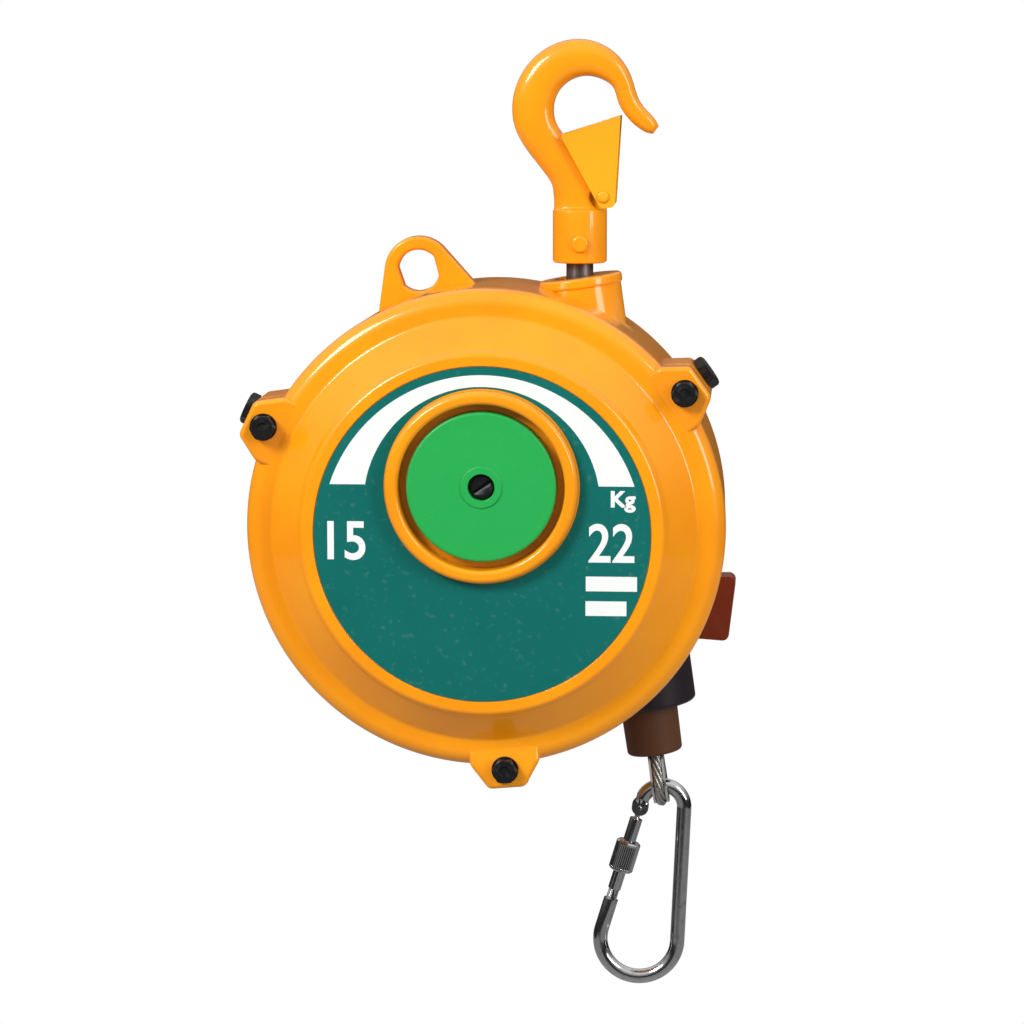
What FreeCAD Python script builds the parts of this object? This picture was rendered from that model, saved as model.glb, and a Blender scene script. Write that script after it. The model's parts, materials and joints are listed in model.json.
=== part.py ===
import FreeCAD, Part
import os
from math import acos, asin, atan, atan2, cos, degrees, hypot, pi, radians, sin, sqrt, tan

# Spring balancer that carries a hand tool on a wire rope. A spiral spring in a worm-adjusted case winds a
# tapered drum, so the pull stays even while the rope pays out.
# Frame: millimetres, origin at the centre of the top hook's bowl, +Z up, -Y towards the label side, +X to
# the right of someone who reads the label. The hook stem and the rope both lie in the plane Y = 0.

V = FreeCAD.Vector
Y_AXIS = V(0, 1, 0)

# ---- driving dimensions -------------------------------------------------------------------------------
fit = 0.05                   # running clearance on a radius
gap = 0.3                    # clearance between pieces that only pass each other

# casing, about its own centre line
body_x = -41.4
casing_top = -75.1           # height of the casing's rim under the hanger
shell_r = 104.4
body_z = casing_top - shell_r
wall = 4.5
shoulder_y = -58.0
shoulder_r = 94.0            # where the flank starts
face_y = -72.0
face_r = 80.0                # where the flank ends
lip_height = 0.8             # rim round the label
label_r = 72.6
label_thick = 0.4
split_y = -46.0
gasket_thick = 1.0
rear_y = 40.0
draft = 1.4                  # how much smaller the casing is at its back
rear_round = 8.0

# drum shaft, above the casing's centre
drum_rise = 21.0
shaft_r = 10.0
shaft_end_r = 8.0
boss_out_r = 41.2
boss_in_r = 35.8
boss_y = -78.0
floor_y = -66.5
floor_thick = 5.0
cap_r = 32.3
cap_y = -75.2
cap_wall = 3.0
cap_hub_r = 9.0
screw_head_r = 5.2
screw_head_thick = 3.2
screw_r = 3.0
screw_length = 18.0

# ears, cover bolts and lock screws
ear_angles = (35.0, 155.0, 275.0)
ear_out = 9.6                # past the casing's own radius
ear_tip_half = 8.0
ear_root_half = 15.5
ear_root_in = 12.4
ear_front_y = -60.0
ear_back_y = -16.0
bolt_out = 1.1
bolt_r = 3.0
bolt_length = 24.0
bolt_flats = 10.0
bolt_head = 4.0
washer_r = 5.9
washer_thick = 1.2
lock_y = -30.0
lock_r = 4.0
lock_flats = 13.0
lock_head = 4.7
lock_length = 12.5

# safety lug
lug_angle = 106.8
lug_out = 9.3                # hole centre past the casing's own radius
lug_hole_r = 9.2
lug_r = 15.1
lug_y = -5.0
lug_thick = 10.0
lug_root_half = 21.0

# hook
bowl_r = 14.9
stem_x = -3.2
collar_r = 12.0
collar_top = -43.6
collar_bottom = -67.2
hook_thick = 13.6
stem_r = 6.0
stem_end = -102.5
stem_thread_top = -50.0
pin_z = -58.5
pin_r = 3.8
pivot_x = 7.4
pivot_z = -37.8
rivet_r = 2.0
latch_sheet = 1.5
latch_inner = 7.7            # half the width between the latch's sides
spring_wire = 0.9
spring_leg = 4.4
rivet_boss_half = 4.5        # the hook is thinner where the latch is riveted on

# hanger: hook stem, nut and ball washer in the casing's top boss
casing_tilt = 8.0            # the boss and the rope lean by this much when nothing hangs on the rope
ball_z = -92.0
ball_r = 11.0
nut_thick = 6.2
nut_flats = 18.0
cotter_r = 1.2
hanger_r = 17.6
hanger_top_x = -3.0
hanger_top_z = -73.5
hanger_lip = 4.5

# drum and rope
rope_r = 2.4
rope_start_r = 54.1
rope_grow = 3.2              # how much the rope's radius grows in a turn
rope_pitch = 5.3             # along the shaft
wound_turns = 4.75
groove_clear = 0.1
groove_depth = 0.8
drum_wall = 5.0
front_flange_r = 60.0
front_flange_y = -5.0
rear_flange_r = 75.0
rear_flange_thick = 3.5
drum_hub_r = 27.0
arbor_r = 16.0
bearing_r = 21.0
bearing_width = 12.0
notch_count = 12
notch_depth = 6.5
notch_half = 5.4

# spring case, worm wheel and worm
module = 2.5
wheel_teeth = 56
worm_pitch_r = 10.0
worm_turns = 3.5
worm_end_gap = 3.0           # from the end of the thread to the bush
backlash = 0.9               # on each flank
wheel_y = -30.0
wheel_width = 9.0
case_front_y = -52.0
case_back_y = -11.0
case_wall = 4.0
spring_thick = 1.2
spring_coils = 9
spring_side_gap = 2.2
spring_turn = 3.0            # where the strip is hooked to the case
worm_shaft_r = 5.0
worm_bush_r = 6.8
worm_boss_wall = 2.0
worm_bush_length = 9.0

# rear hub and its cap
hub_pocket_r = 17.0
hub_pocket_depth = 2.0
hub_rise = 3.0               # how far the hub stands behind the casing
shaft_nut_flats = 24.0
shaft_nut_thick = 7.0
cap_screw_r = 2.0
cap_screw_count = 3
cap_screw_circle = 23.2
rear_cap_r = 27.0

# lock lever
lever_angle = -34.0          # seen from the drum shaft
lock_turn = 10.0             # from free to locked
lever_pivot_in = 24.68       # from the casing's rim
lever_thick = 4.5
lever_pin_r = 3.0
lever_arm_clear = 11.5       # from the drum's flange to the arm's centre line
lever_arm_half = 4.0
nose_angle = -10.0
nose_half = 3.0
lever_tang_half = 5.0
grip_start = 16.0            # from the lever pin outwards
grip_length = 21.0
grip_height = 33.0
grip_depth = 14.0

# rope guide, stopper and rope eye, measured along the rope
guide_r = 21.5
guide_out = 7.95             # past the casing's rim
guide_length = 42.2
guide_bore_r = 5.0
stopper_r = 12.9
stopper_in = 5.4             # how deep it sits in the guide
stopper_length = 27.5
ferrule_length = 12.0
eye_reach = 22.75            # below the stopper
eye_r = 8.5
thimble_wall = 1.0

# carabiner
wire_r = 3.3
small_arc_r = 9.7
big_arc_r = 17.5
arc_distance = 62.5
carabiner_lean = 9.7
sleeve_r = 5.6
sleeve_length = 14.0
gate_r = 2.9
gate_pin_r = 1.1

os.makedirs("parts", exist_ok=True)


def save(name, shape):
    shape.exportStep("parts/" + name + ".step")


# ---- shape helpers ------------------------------------------------------------------------------------
def in_xz(y):
    return lambda a, b: V(a, y, b)


def outline(points, place):
    """Closed wire through the points; a point's third number rounds its corner."""
    edges = []
    starts = []
    count = len(points)
    for i, point in enumerate(points):
        here = place(*point[:2])
        before = place(*points[i - 1][:2])
        after = place(*points[(i + 1) % count][:2])
        if len(point) < 3:
            starts.append((here, here, None))
            continue
        back = (before - here).normalize()
        ahead = (after - here).normalize()
        half = back.getAngle(ahead) / 2
        reach = point[2] / tan(half)
        middle = here + (back + ahead).normalize() * (point[2] / sin(half) - point[2])
        starts.append((here + back * reach, here + ahead * reach, middle))
    for i, (first, last, middle) in enumerate(starts):
        if middle is not None:
            edges.append(Part.Arc(first, middle, last).toShape())
        following = starts[(i + 1) % count][0]
        if last.distanceToPoint(following) > 1e-6:
            edges.append(Part.makeLine(last, following))
    return Part.Wire(edges)


def turned(profile, x=body_x, z=body_z):
    """Solid of revolution about the line along Y through (x, z); the profile is in (radius, y)."""
    wire = outline(profile, lambda r, y: V(x + r, y, z))
    return Part.Face(wire).revolve(V(x, 0, z), Y_AXIS, 360)


def slab(points, y_from, y_to):
    """Flat piece with an outline in X and Z, between two planes across Y."""
    return Part.Face(outline(points, in_xz(y_from))).extrude(V(0, y_to - y_from, 0))


def bar(radius, x, z, y_from, y_to):
    return Part.makeCylinder(radius, y_to - y_from, V(x, y_from, z), Y_AXIS)


def ring(outer, inner, x, z, y_from, y_to):
    return bar(outer, x, z, y_from, y_to).cut(bar(inner, x, z, y_from, y_to))


def hexagon(flats, height, base, direction):
    """Hexagonal prism whose base centre and direction are given."""
    corner_r = flats / sqrt(3)
    corners = [V(corner_r * cos(radians(60 * k)), corner_r * sin(radians(60 * k)), 0) for k in range(7)]
    prism = Part.Face(Part.makePolygon(corners)).extrude(V(0, 0, height))
    prism.Placement = FreeCAD.Placement(base, FreeCAD.Rotation(V(0, 0, 1), direction))
    return prism


def fused(shapes):
    return shapes[0].multiFuse(shapes[1:]).removeSplitter() if len(shapes) > 1 else shapes[0]


def polar(radius, angle, x=body_x, z=body_z):
    return x + radius * cos(radians(angle)), z + radius * sin(radians(angle))


# ---- places that several pieces share -----------------------------------------------------------------
ear_r = shell_r + ear_out
ear_root_r = shell_r - ear_root_in
bolt_circle_r = shell_r + bolt_out
lug_reach = shell_r + lug_out
drum_x = body_x
drum_z = body_z + drum_rise
lean = radians(casing_tilt)
rope_dir = V(sin(lean), 0, -cos(lean))
rope_side = V(cos(lean), 0, sin(lean))
rope_start = V(drum_x, 0, drum_z) + rope_side * rope_start_r
rope_frame = FreeCAD.Placement(rope_start, FreeCAD.Rotation(rope_side, V(0, -1, 0), rope_dir, "ZXY"))
rim_along_rope = (drum_rise * cos(lean)
                  + sqrt(shell_r ** 2 - (rope_start_r + drum_rise * sin(lean)) ** 2))
guide_end = rim_along_rope + guide_out
guide_start = guide_end - guide_length
stopper_start = guide_end - stopper_in
stopper_end = stopper_start + stopper_length
eye_end = stopper_end + eye_reach
inner_r = shell_r - wall
rear_inner_y = rear_y - wall
split_front = split_y - gasket_thick / 2
split_back = split_y + gasket_thick / 2
bolt_seat_y = ear_front_y
wheel_pitch_r = module * wheel_teeth / 2
worm_z = drum_z - wheel_pitch_r - worm_pitch_r
case_r = wheel_pitch_r - 1.4 * module
drum_back_y = rope_pitch * wound_turns + rope_r + gap * 2 + rear_flange_thick
notch_y = drum_back_y - rear_flange_thick
lever_y = notch_y + gap + lever_thick / 2
hub_face_y = rear_inner_y - 2.0
front_bearing_y = front_flange_y - 4.0
rear_bearing_y = drum_back_y - bearing_width - 2.0
hub_pocket_y = rear_y - hub_pocket_depth
rear_cap_y = rear_y + hub_rise
worm_lead = pi * module
worm_half = worm_lead * worm_turns / 2
worm_left = body_x - sqrt(shell_r ** 2 - (worm_z - body_z) ** 2) + 1.5
worm_right = body_x + worm_half + worm_end_gap + worm_bush_length
lever_rim_r = (sqrt(shell_r ** 2 - (drum_rise * cos(radians(lever_angle))) ** 2)
               - drum_rise * sin(radians(lever_angle)))
lever_pivot_r = lever_rim_r - lever_pivot_in
lever_pivot = polar(lever_pivot_r, lever_angle, drum_x, drum_z)
nose_tip = polar(rear_flange_r + gap * 2, nose_angle, drum_x, drum_z)
nose_root = polar(rear_flange_r + lever_arm_clear, nose_angle, drum_x, drum_z)
washer_bottom = ball_z - 1.0
nut_top = washer_bottom - 0.15
nut_bottom = nut_top - nut_thick
ferrule_start = stopper_start + 7.0
strand_half = rope_r + fit
parallel_end = ferrule_start + ferrule_length + 3
eye_centre = eye_end - eye_r
# the eye's two strands lean apart until they touch its round end
strand_lean = (asin(eye_r / hypot(strand_half, eye_centre - parallel_end))
               - atan(strand_half / (eye_centre - parallel_end)))
eye_spread = strand_half + (eye_end - parallel_end) * tan(strand_lean)


def along_rope(piece):
    piece.Placement = rope_frame.multiply(piece.Placement)
    return piece


# ---- casing -------------------------------------------------------------------------------------------
def ear(angle, y_from, y_to, reach=ear_r, root=ear_root_r):
    """One lug for a cover bolt: a flat tip that widens into the casing."""
    pad = slab(
        [(root, -ear_root_half), (shell_r - 2, -ear_root_half, 6), (reach, -ear_tip_half, 3.5),
         (reach, ear_tip_half, 3.5), (shell_r - 2, ear_root_half, 6), (root, ear_root_half)],
        y_from, y_to)
    pad.rotate(V(0, 0, 0), Y_AXIS, -angle)
    pad.translate(V(body_x, 0, body_z))
    return pad


def front_cover():
    front_inner = face_y + wall
    flank = wall * 0.9
    shell = turned([
        (boss_in_r, face_y), (label_r + gap, face_y), (label_r + gap, face_y - lip_height, 0.3),
        (face_r - 2.0, face_y - lip_height, 2.5), (face_r, face_y + 2.5, 2.0),
        (shoulder_r - 1.5, shoulder_y, 3.0), (shell_r, shoulder_y, 7.0), (shell_r, split_front),
        (inner_r, split_front), (inner_r, shoulder_y + wall, 3.0),
        (shoulder_r - flank, shoulder_y + wall, 2.0), (face_r - flank, front_inner, 2.0),
        (boss_in_r, front_inner)])
    boss = turned([
        (boss_in_r, floor_y), (boss_in_r, boss_y, 2.0), (boss_out_r, boss_y, 2.4), (boss_out_r + 0.6, face_y),
        (boss_out_r + 0.6, floor_y + floor_thick), (boss_in_r, floor_y + floor_thick)], drum_x, drum_z)
    pocket = bar(boss_in_r, drum_x, drum_z, face_y - 5, floor_y)
    floor = bar(boss_in_r + wall, drum_x, drum_z, floor_y, floor_y + floor_thick)
    ears = [ear(a, ear_front_y, split_front) for a in ear_angles]
    cover = fused([shell.cut(pocket), boss, floor] + ears)
    # the ears end at the inner wall
    hollow = turned([
        (0, split_front + 1), (inner_r, split_front + 1), (inner_r, shoulder_y + wall, 3.0),
        (shoulder_r - flank, shoulder_y + wall, 2.0), (face_r - flank, front_inner, 2.0),
        (0, front_inner)])
    keep = bar(boss_out_r + 0.6, drum_x, drum_z, floor_y - 5, floor_y + floor_thick)
    cover = cover.cut(hollow.cut(keep))
    holes = [bar(bolt_r + gap, *polar(bolt_circle_r, a), ear_front_y - 1, split_front + 1)
             for a in ear_angles]
    bore = bar(shaft_r, drum_x, drum_z, floor_y - 1, floor_y + floor_thick + 1)
    return cover.cut(bore).cut(Part.makeCompound(holes))


def hanger_boss():
    """Round boss that the hook stem enters; it leans with the rope."""
    axis = V(-sin(lean), 0, cos(lean))
    top = V(hanger_top_x, 0, hanger_top_z)
    length = 30.0
    stub = Part.makeCylinder(hanger_r, length, top - axis * length, axis)
    lip = Part.makeCylinder(hanger_r + 0.8, hanger_lip, top - axis * hanger_lip, axis)
    lip = lip.makeFillet(1.2, [e for e in lip.Edges if isinstance(e.Curve, Part.Circle)])
    return stub.fuse(lip)


def seat_cut():
    """Spherical seat for the ball washer, with a flared hole above that lets the stem lean both ways."""
    centre = V(stem_x, 0, ball_z)
    axis = V(-sin(lean), 0, cos(lean))
    ball = Part.makeSphere(ball_r + gap, centre)
    rise = hanger_top_z - ball_z + 6
    flare = Part.makeCone(stem_r + 0.5, stem_r / cos(lean) + rise * tan(lean) + 0.6, rise, centre, axis)
    below = Part.makeCylinder(ball_r + gap, 30, centre, V(0, 0, -1))
    below.rotate(centre, Y_AXIS, -casing_tilt)
    return fused([ball, flare, below])


def lug():
    """Eye for the safety chain, cast on the casing's rim."""
    root = sqrt(shell_r ** 2 - lug_root_half ** 2) - 3
    head = bar(lug_r, lug_reach, 0, lug_y - lug_thick / 2, lug_y + lug_thick / 2)
    # straight sides leave the round head where they touch it
    drop = lug_reach - root
    side = hypot(drop, lug_root_half)
    turn = acos(lug_r / side) + atan2(lug_root_half, -drop) - pi
    touch = (lug_reach + lug_r * cos(turn), lug_r * sin(-turn))
    web = slab([(root, -lug_root_half), (touch[0], -abs(touch[1])), (touch[0], abs(touch[1])),
                (root, lug_root_half)], lug_y - lug_thick / 2, lug_y + lug_thick / 2)
    eye = head.fuse(web)
    eye = eye.cut(bar(lug_hole_r, lug_reach, 0, lug_y - lug_thick, lug_y + lug_thick))
    eye.rotate(V(0, 0, 0), Y_AXIS, -lug_angle)
    eye.translate(V(body_x, 0, body_z))
    return eye


def rear_casing():
    back_r = shell_r - draft
    shell = turned([
        (0, rear_y), (back_r, rear_y, rear_round), (shell_r, split_back), (inner_r, split_back),
        (back_r - wall, rear_inner_y, rear_round - wall), (0, rear_inner_y)])
    solid_inside = turned([
        (0, split_back), (inner_r, split_back), (back_r - wall, rear_inner_y, rear_round - wall),
        (0, rear_inner_y)])
    ears = [ear(a, split_back, ear_back_y) for a in ear_angles]
    outside = fused([shell] + ears + [lug(), hanger_boss()])
    # inside bosses: ball seat, shaft hub, worm bearings, rope guide tube and lever pin
    seat_boss = Part.makeCylinder(ball_r + 5, 16, V(stem_x, 0, ball_z + 2), V(-sin(lean), 0, cos(lean)))
    hub = bar(shaft_r + 6, drum_x, drum_z, hub_face_y, rear_y)
    back_hub = turned([(0, rear_y - 1), (rear_cap_r + 7, rear_y - 1), (rear_cap_r + 3, rear_cap_y, 1.5),
                       (0, rear_cap_y)], drum_x, drum_z)
    left_end = body_x - sqrt(shell_r ** 2 - (worm_z - body_z) ** 2)
    left_boss = Part.makeCylinder(worm_bush_r + 3, 16, V(left_end, wheel_y, worm_z), V(1, 0, 0))
    right_x = worm_right - worm_bush_length
    foot_z = body_z - inner_r
    boss_half = worm_bush_r + worm_boss_wall
    right_boss = Part.makeBox(worm_bush_length, 2 * boss_half, worm_z + boss_half - foot_z,
                              V(right_x, wheel_y - boss_half, foot_z))
    right_web = Part.makeBox(worm_bush_length, rear_y - 2 - wheel_y, worm_z - 6 - foot_z,
                             V(right_x, wheel_y, foot_z))
    tube = Part.makeCylinder(guide_r + 4.5, guide_end - guide_start, V(0, 0, guide_start))
    pin_boss = bar(lever_pin_r + 4, *lever_pivot, lever_y + lever_thick / 2 + gap, rear_y)
    inside = fused([seat_boss, hub, left_boss, right_boss, right_web, along_rope(tube), pin_boss])
    envelope = turned([(0, split_back), (shell_r, split_back), (back_r, rear_y, rear_round), (0, rear_y)])
    casing = fused([outside, inside.common(envelope), back_hub])
    # the hollow runs behind the ears and the lug as well
    strays = solid_inside.cut(inside)
    casing = casing.cut(strays)
    cuts = [seat_cut()]
    cuts.append(bar(shaft_end_r, drum_x, drum_z, hub_face_y - 1, rear_y + 5))
    cuts.append(bar(hub_pocket_r, drum_x, drum_z, hub_pocket_y, rear_y + 5))
    cuts.append(along_rope(Part.makeCylinder(guide_r, guide_end, V(0, 0, guide_start - 10))))
    cuts.append(Part.makeCylinder(worm_bush_r, 60, V(left_end - 5, wheel_y, worm_z), V(1, 0, 0)))
    cuts.append(Part.makeCylinder(worm_bush_r, worm_bush_length + 2, V(right_x - 1, wheel_y, worm_z),
                                  V(1, 0, 0)))
    cuts.append(bar(lever_pin_r, *lever_pivot, lever_y - 6, rear_y - 2))
    cuts.append(lever_slot())
    for a in ear_angles:
        cuts.append(bar(bolt_r, *polar(bolt_circle_r, a), split_back - 1, bolt_seat_y + bolt_length + 1))
        out = V(cos(radians(a)), 0, sin(radians(a)))
        end = V(body_x, lock_y, body_z) + out * (ear_r - lock_length + 0.01)
        cuts.append(Part.makeCylinder(lock_r, lock_length, end, out))
    for x, z in rear_cap_holes():
        cuts.append(bar(cap_screw_r, x, z, rear_y - 3, rear_y + 5))
    for tool in cuts:
        casing = casing.cut(tool)
    return casing.removeSplitter()


def strip(a, b, half, y_from, y_to):
    """Straight bar of a given half width between two points in X and Z."""
    length = hypot(b[0] - a[0], b[1] - a[1])
    u = ((b[0] - a[0]) / length, (b[1] - a[1]) / length)
    n = (-u[1], u[0])
    corners = [(a[0] + n[0] * half, a[1] + n[1] * half), (b[0] + n[0] * half, b[1] + n[1] * half),
               (b[0] - n[0] * half, b[1] - n[1] * half), (a[0] - n[0] * half, a[1] - n[1] * half)]
    return slab(corners, y_from, y_to)


def lever_slot():
    far = polar(lever_pivot_r + 50, lever_angle, drum_x, drum_z)
    y_from = lever_y - lever_thick / 2 - 0.6
    y_to = lever_y + lever_thick / 2 + 0.6
    near = polar(lever_pivot_r + 6, lever_angle, drum_x, drum_z)
    first = strip(near, far, lever_tang_half + 1, y_from, y_to)
    second = first.copy()
    second.rotate(V(lever_pivot[0], 0, lever_pivot[1]), Y_AXIS, -lock_turn)
    return first.fuse(second)


def lock_lever():
    y_from = lever_y - lever_thick / 2
    y_to = lever_y + lever_thick / 2
    boss = bar(lever_pin_r + 5, *lever_pivot, y_from, y_to)
    arm = strip(lever_pivot, nose_root, lever_arm_half, y_from, y_to)
    elbow = bar(lever_arm_half, *nose_root, y_from, y_to)
    nose = strip(nose_root, nose_tip, nose_half, y_from, y_to)
    tang_end = polar(lever_pivot_r + grip_start + grip_length - 4, lever_angle, drum_x, drum_z)
    tang = strip(lever_pivot, tang_end, lever_tang_half, y_from, y_to)
    lever = fused([boss, arm, elbow, nose, tang])
    return lever.cut(bar(lever_pin_r + fit, *lever_pivot, y_from - 1, y_to + 1))


def lever_grip(lever):
    """Moulded thumb piece pushed over the lever's outer end."""
    a = radians(lever_angle)
    centre = lever_pivot_r + grip_start + grip_length / 2
    grip = slab([(-grip_length / 2, -grip_height / 2 - 1, 2), (grip_length / 2, -grip_height / 2, 3),
                 (grip_length / 2, grip_height / 2 - 3, 3), (-grip_length / 2, grip_height / 2 - 6, 2)],
                lever_y - grip_depth / 2, lever_y + grip_depth / 2)
    grip.rotate(V(0, 0, 0), Y_AXIS, -lever_angle * 0.2)
    grip.translate(V(drum_x + centre * cos(a), 0, drum_z + centre * sin(a)))
    clear = turned([(0, 0), (shell_r + 1.2, 0), (shell_r + 1.2, 60), (0, 60)])
    return grip.cut(clear).cut(lever)


# ---- fasteners and small pieces of the casing ---------------------------------------------------------
def cover_bolts():
    bolts = []
    for a in ear_angles:
        x, z = polar(bolt_circle_r, a)
        under_head = bolt_seat_y - washer_thick
        head = hexagon(bolt_flats, bolt_head, V(x, under_head, z), V(0, -1, 0))
        crown = Part.makeCone(bolt_flats * 0.62, bolt_flats * 0.4, bolt_head, V(x, under_head, z),
                              V(0, -1, 0))
        shank = bar(bolt_r, x, z, under_head - 0.5, bolt_seat_y + bolt_length)
        bolts.append(fused([head.common(crown), shank]))
    return Part.makeCompound(bolts)


def cover_washers():
    return Part.makeCompound([ring(washer_r, bolt_r, *polar(bolt_circle_r, a), bolt_seat_y - washer_thick,
                                   bolt_seat_y) for a in ear_angles])


def lock_screws():
    screws = []
    for a in ear_angles:
        out = V(cos(radians(a)), 0, sin(radians(a)))
        seat = V(body_x, lock_y, body_z) + out * ear_r
        head = hexagon(lock_flats, lock_head, seat, out)
        crown = Part.makeCone(lock_flats * 0.62, lock_flats * 0.46, lock_head, seat, out)
        shank = Part.makeCylinder(lock_r, lock_length, seat - out * (lock_length - 0.01), out)
        screws.append(fused([head.common(crown), shank]))
    return Part.makeCompound(screws)


def casing_gasket():
    seal = ring(shell_r - 0.4, inner_r + 0.2, body_x, body_z, split_front, split_back)
    tabs = [ear(a, split_front, split_back, ear_r - 0.5, inner_r) for a in ear_angles]
    holes = [bar(bolt_r + 0.3, *polar(bolt_circle_r, a), split_front - 1, split_back + 1) for a in ear_angles]
    bore = bar(inner_r + 0.2, body_x, body_z, split_front - 1, split_back + 1)
    return fused([seal] + tabs).cut(Part.makeCompound(holes)).cut(bore)


def front_label():
    plate = bar(label_r, body_x, body_z, face_y - label_thick, face_y)
    return plate.cut(bar(boss_out_r + 1.0, drum_x, drum_z, face_y - 2, face_y + 2))


def end_cap():
    """Moulded dust cap over the shaft's end: a skirted disc with a hub that its screw clamps."""
    hub_floor = cap_y + screw_head_thick + 1.4
    skirt_end = floor_y - 0.2
    return turned([
        (screw_r + 0.2, hub_floor), (screw_head_r + 0.6, hub_floor), (screw_head_r + 0.6, cap_y - 0.6, 0.3),
        (cap_hub_r, cap_y - 0.6, 0.5), (cap_hub_r, cap_y, 0.2), (cap_r, cap_y, 1.2), (cap_r, skirt_end),
        (cap_r - cap_wall, skirt_end), (cap_r - cap_wall, cap_y + cap_wall), (cap_hub_r, cap_y + cap_wall),
        (cap_hub_r, floor_y), (screw_r + 0.2, floor_y)], drum_x, drum_z)


def cap_screw():
    under_head = cap_y + screw_head_thick + 1.4
    head = turned([(0, under_head - screw_head_thick), (screw_head_r, under_head - screw_head_thick, 1.0),
                   (screw_head_r, under_head), (screw_r, under_head), (screw_r, under_head + screw_length),
                   (0, under_head + screw_length)], drum_x, drum_z)
    slot = Part.makeBox(2 * screw_head_r + 2, 1.4, 1.3)
    slot.translate(V(-screw_head_r - 1, under_head - screw_head_thick - 0.01, -0.65))
    slot.rotate(V(0, 0, 0), Y_AXIS, -35)
    slot.translate(V(drum_x, 0, drum_z))
    return head.cut(slot)


def drum_shaft():
    """Fixed axle of the drum, clamped in the rear wall and steadied by the front cover."""
    shaft = turned([(0, floor_y), (shaft_r, floor_y, 0.5), (shaft_r, hub_face_y), (shaft_end_r, hub_face_y),
                    (shaft_end_r, hub_pocket_y + shaft_nut_thick + 2, 0.8),
                    (0, hub_pocket_y + shaft_nut_thick + 2)], drum_x, drum_z)
    under_head = cap_y + screw_head_thick + 1.4
    return shaft.cut(bar(screw_r, drum_x, drum_z, floor_y - 1, under_head + screw_length + 1))


def shaft_nut():
    nut = hexagon(shaft_nut_flats, shaft_nut_thick, V(drum_x, hub_pocket_y, drum_z), Y_AXIS)
    return nut.cut(bar(shaft_end_r, drum_x, drum_z, hub_pocket_y - 1, hub_pocket_y + shaft_nut_thick + 1))


def rear_cap_holes():
    return [polar(cap_screw_circle, 90 + 360 / cap_screw_count * k, drum_x, drum_z)
            for k in range(cap_screw_count)]


def rear_cap():
    crown = hub_pocket_y + shaft_nut_thick + 3
    cap = turned([(0, crown + 2), (hub_pocket_r, crown + 2, 4), (hub_pocket_r + 2, rear_cap_y + 2, 1),
                  (rear_cap_r, rear_cap_y + 2, 1), (rear_cap_r, rear_cap_y), (hub_pocket_r - 1, rear_cap_y),
                  (hub_pocket_r - 2, crown, 2), (0, crown)], drum_x, drum_z)
    for x, z in rear_cap_holes():
        cap = cap.cut(bar(cap_screw_r + 0.2, x, z, rear_cap_y - 1, rear_cap_y + 4))
    return cap


def rear_cap_screws():
    screws = []
    for x, z in rear_cap_holes():
        screws.append(fused([bar(cap_screw_r, x, z, rear_y - 3, rear_cap_y + 2.5),
                             bar(cap_screw_r * 1.75, x, z, rear_cap_y + 2, rear_cap_y + 4)]))
    return Part.makeCompound(screws)


def lever_pin():
    return bar(lever_pin_r, *lever_pivot, lever_y - lever_thick / 2 - 2.5, rear_y - 2)


def lever_circlip():
    y = lever_y - lever_thick / 2
    clip = ring(lever_pin_r + 2.2, lever_pin_r, *lever_pivot, y - 1.2, y - 0.2)
    return clip.cut(Part.makeBox(2, 3, 8, V(lever_pivot[0] - 1, y - 2, lever_pivot[1])))


# ---- drum ---------------------------------------------------------------------------------------------
def rope_radius(turns):
    return rope_start_r + rope_grow * turns


def groove_spine(first_turn, last_turn):
    """Conical helix that the rope lies on, from the point where it leaves the drum."""
    cone_angle = degrees(atan(rope_grow / rope_pitch))
    # a conical helix takes its pitch and height along the cone's side
    side_pitch = hypot(rope_grow, rope_pitch)
    turns = last_turn - first_turn
    spine = Part.makeHelix(side_pitch, side_pitch * turns, rope_radius(first_turn), cone_angle, True)
    # the helix climbs about Z; it is laid along +Y and winds anticlockwise as seen from the label side
    start = casing_tilt + 360 * first_turn
    spine.Placement = FreeCAD.Placement(
        V(drum_x, rope_pitch * first_turn, drum_z),
        FreeCAD.Rotation(Y_AXIS, -start).multiply(FreeCAD.Rotation(V(1, 0, 0), V(0, 0, -1), Y_AXIS, "ZXY")))
    return spine


def along_spine(spine, radius):
    edge = spine.Edges[0]
    start = edge.valueAt(edge.FirstParameter)
    heading = edge.tangentAt(edge.FirstParameter)
    section = Part.Wire(Part.Circle(start, heading, radius).toShape())
    return Part.Wire(spine.Edges).makePipeShell([section], True, True)


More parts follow.
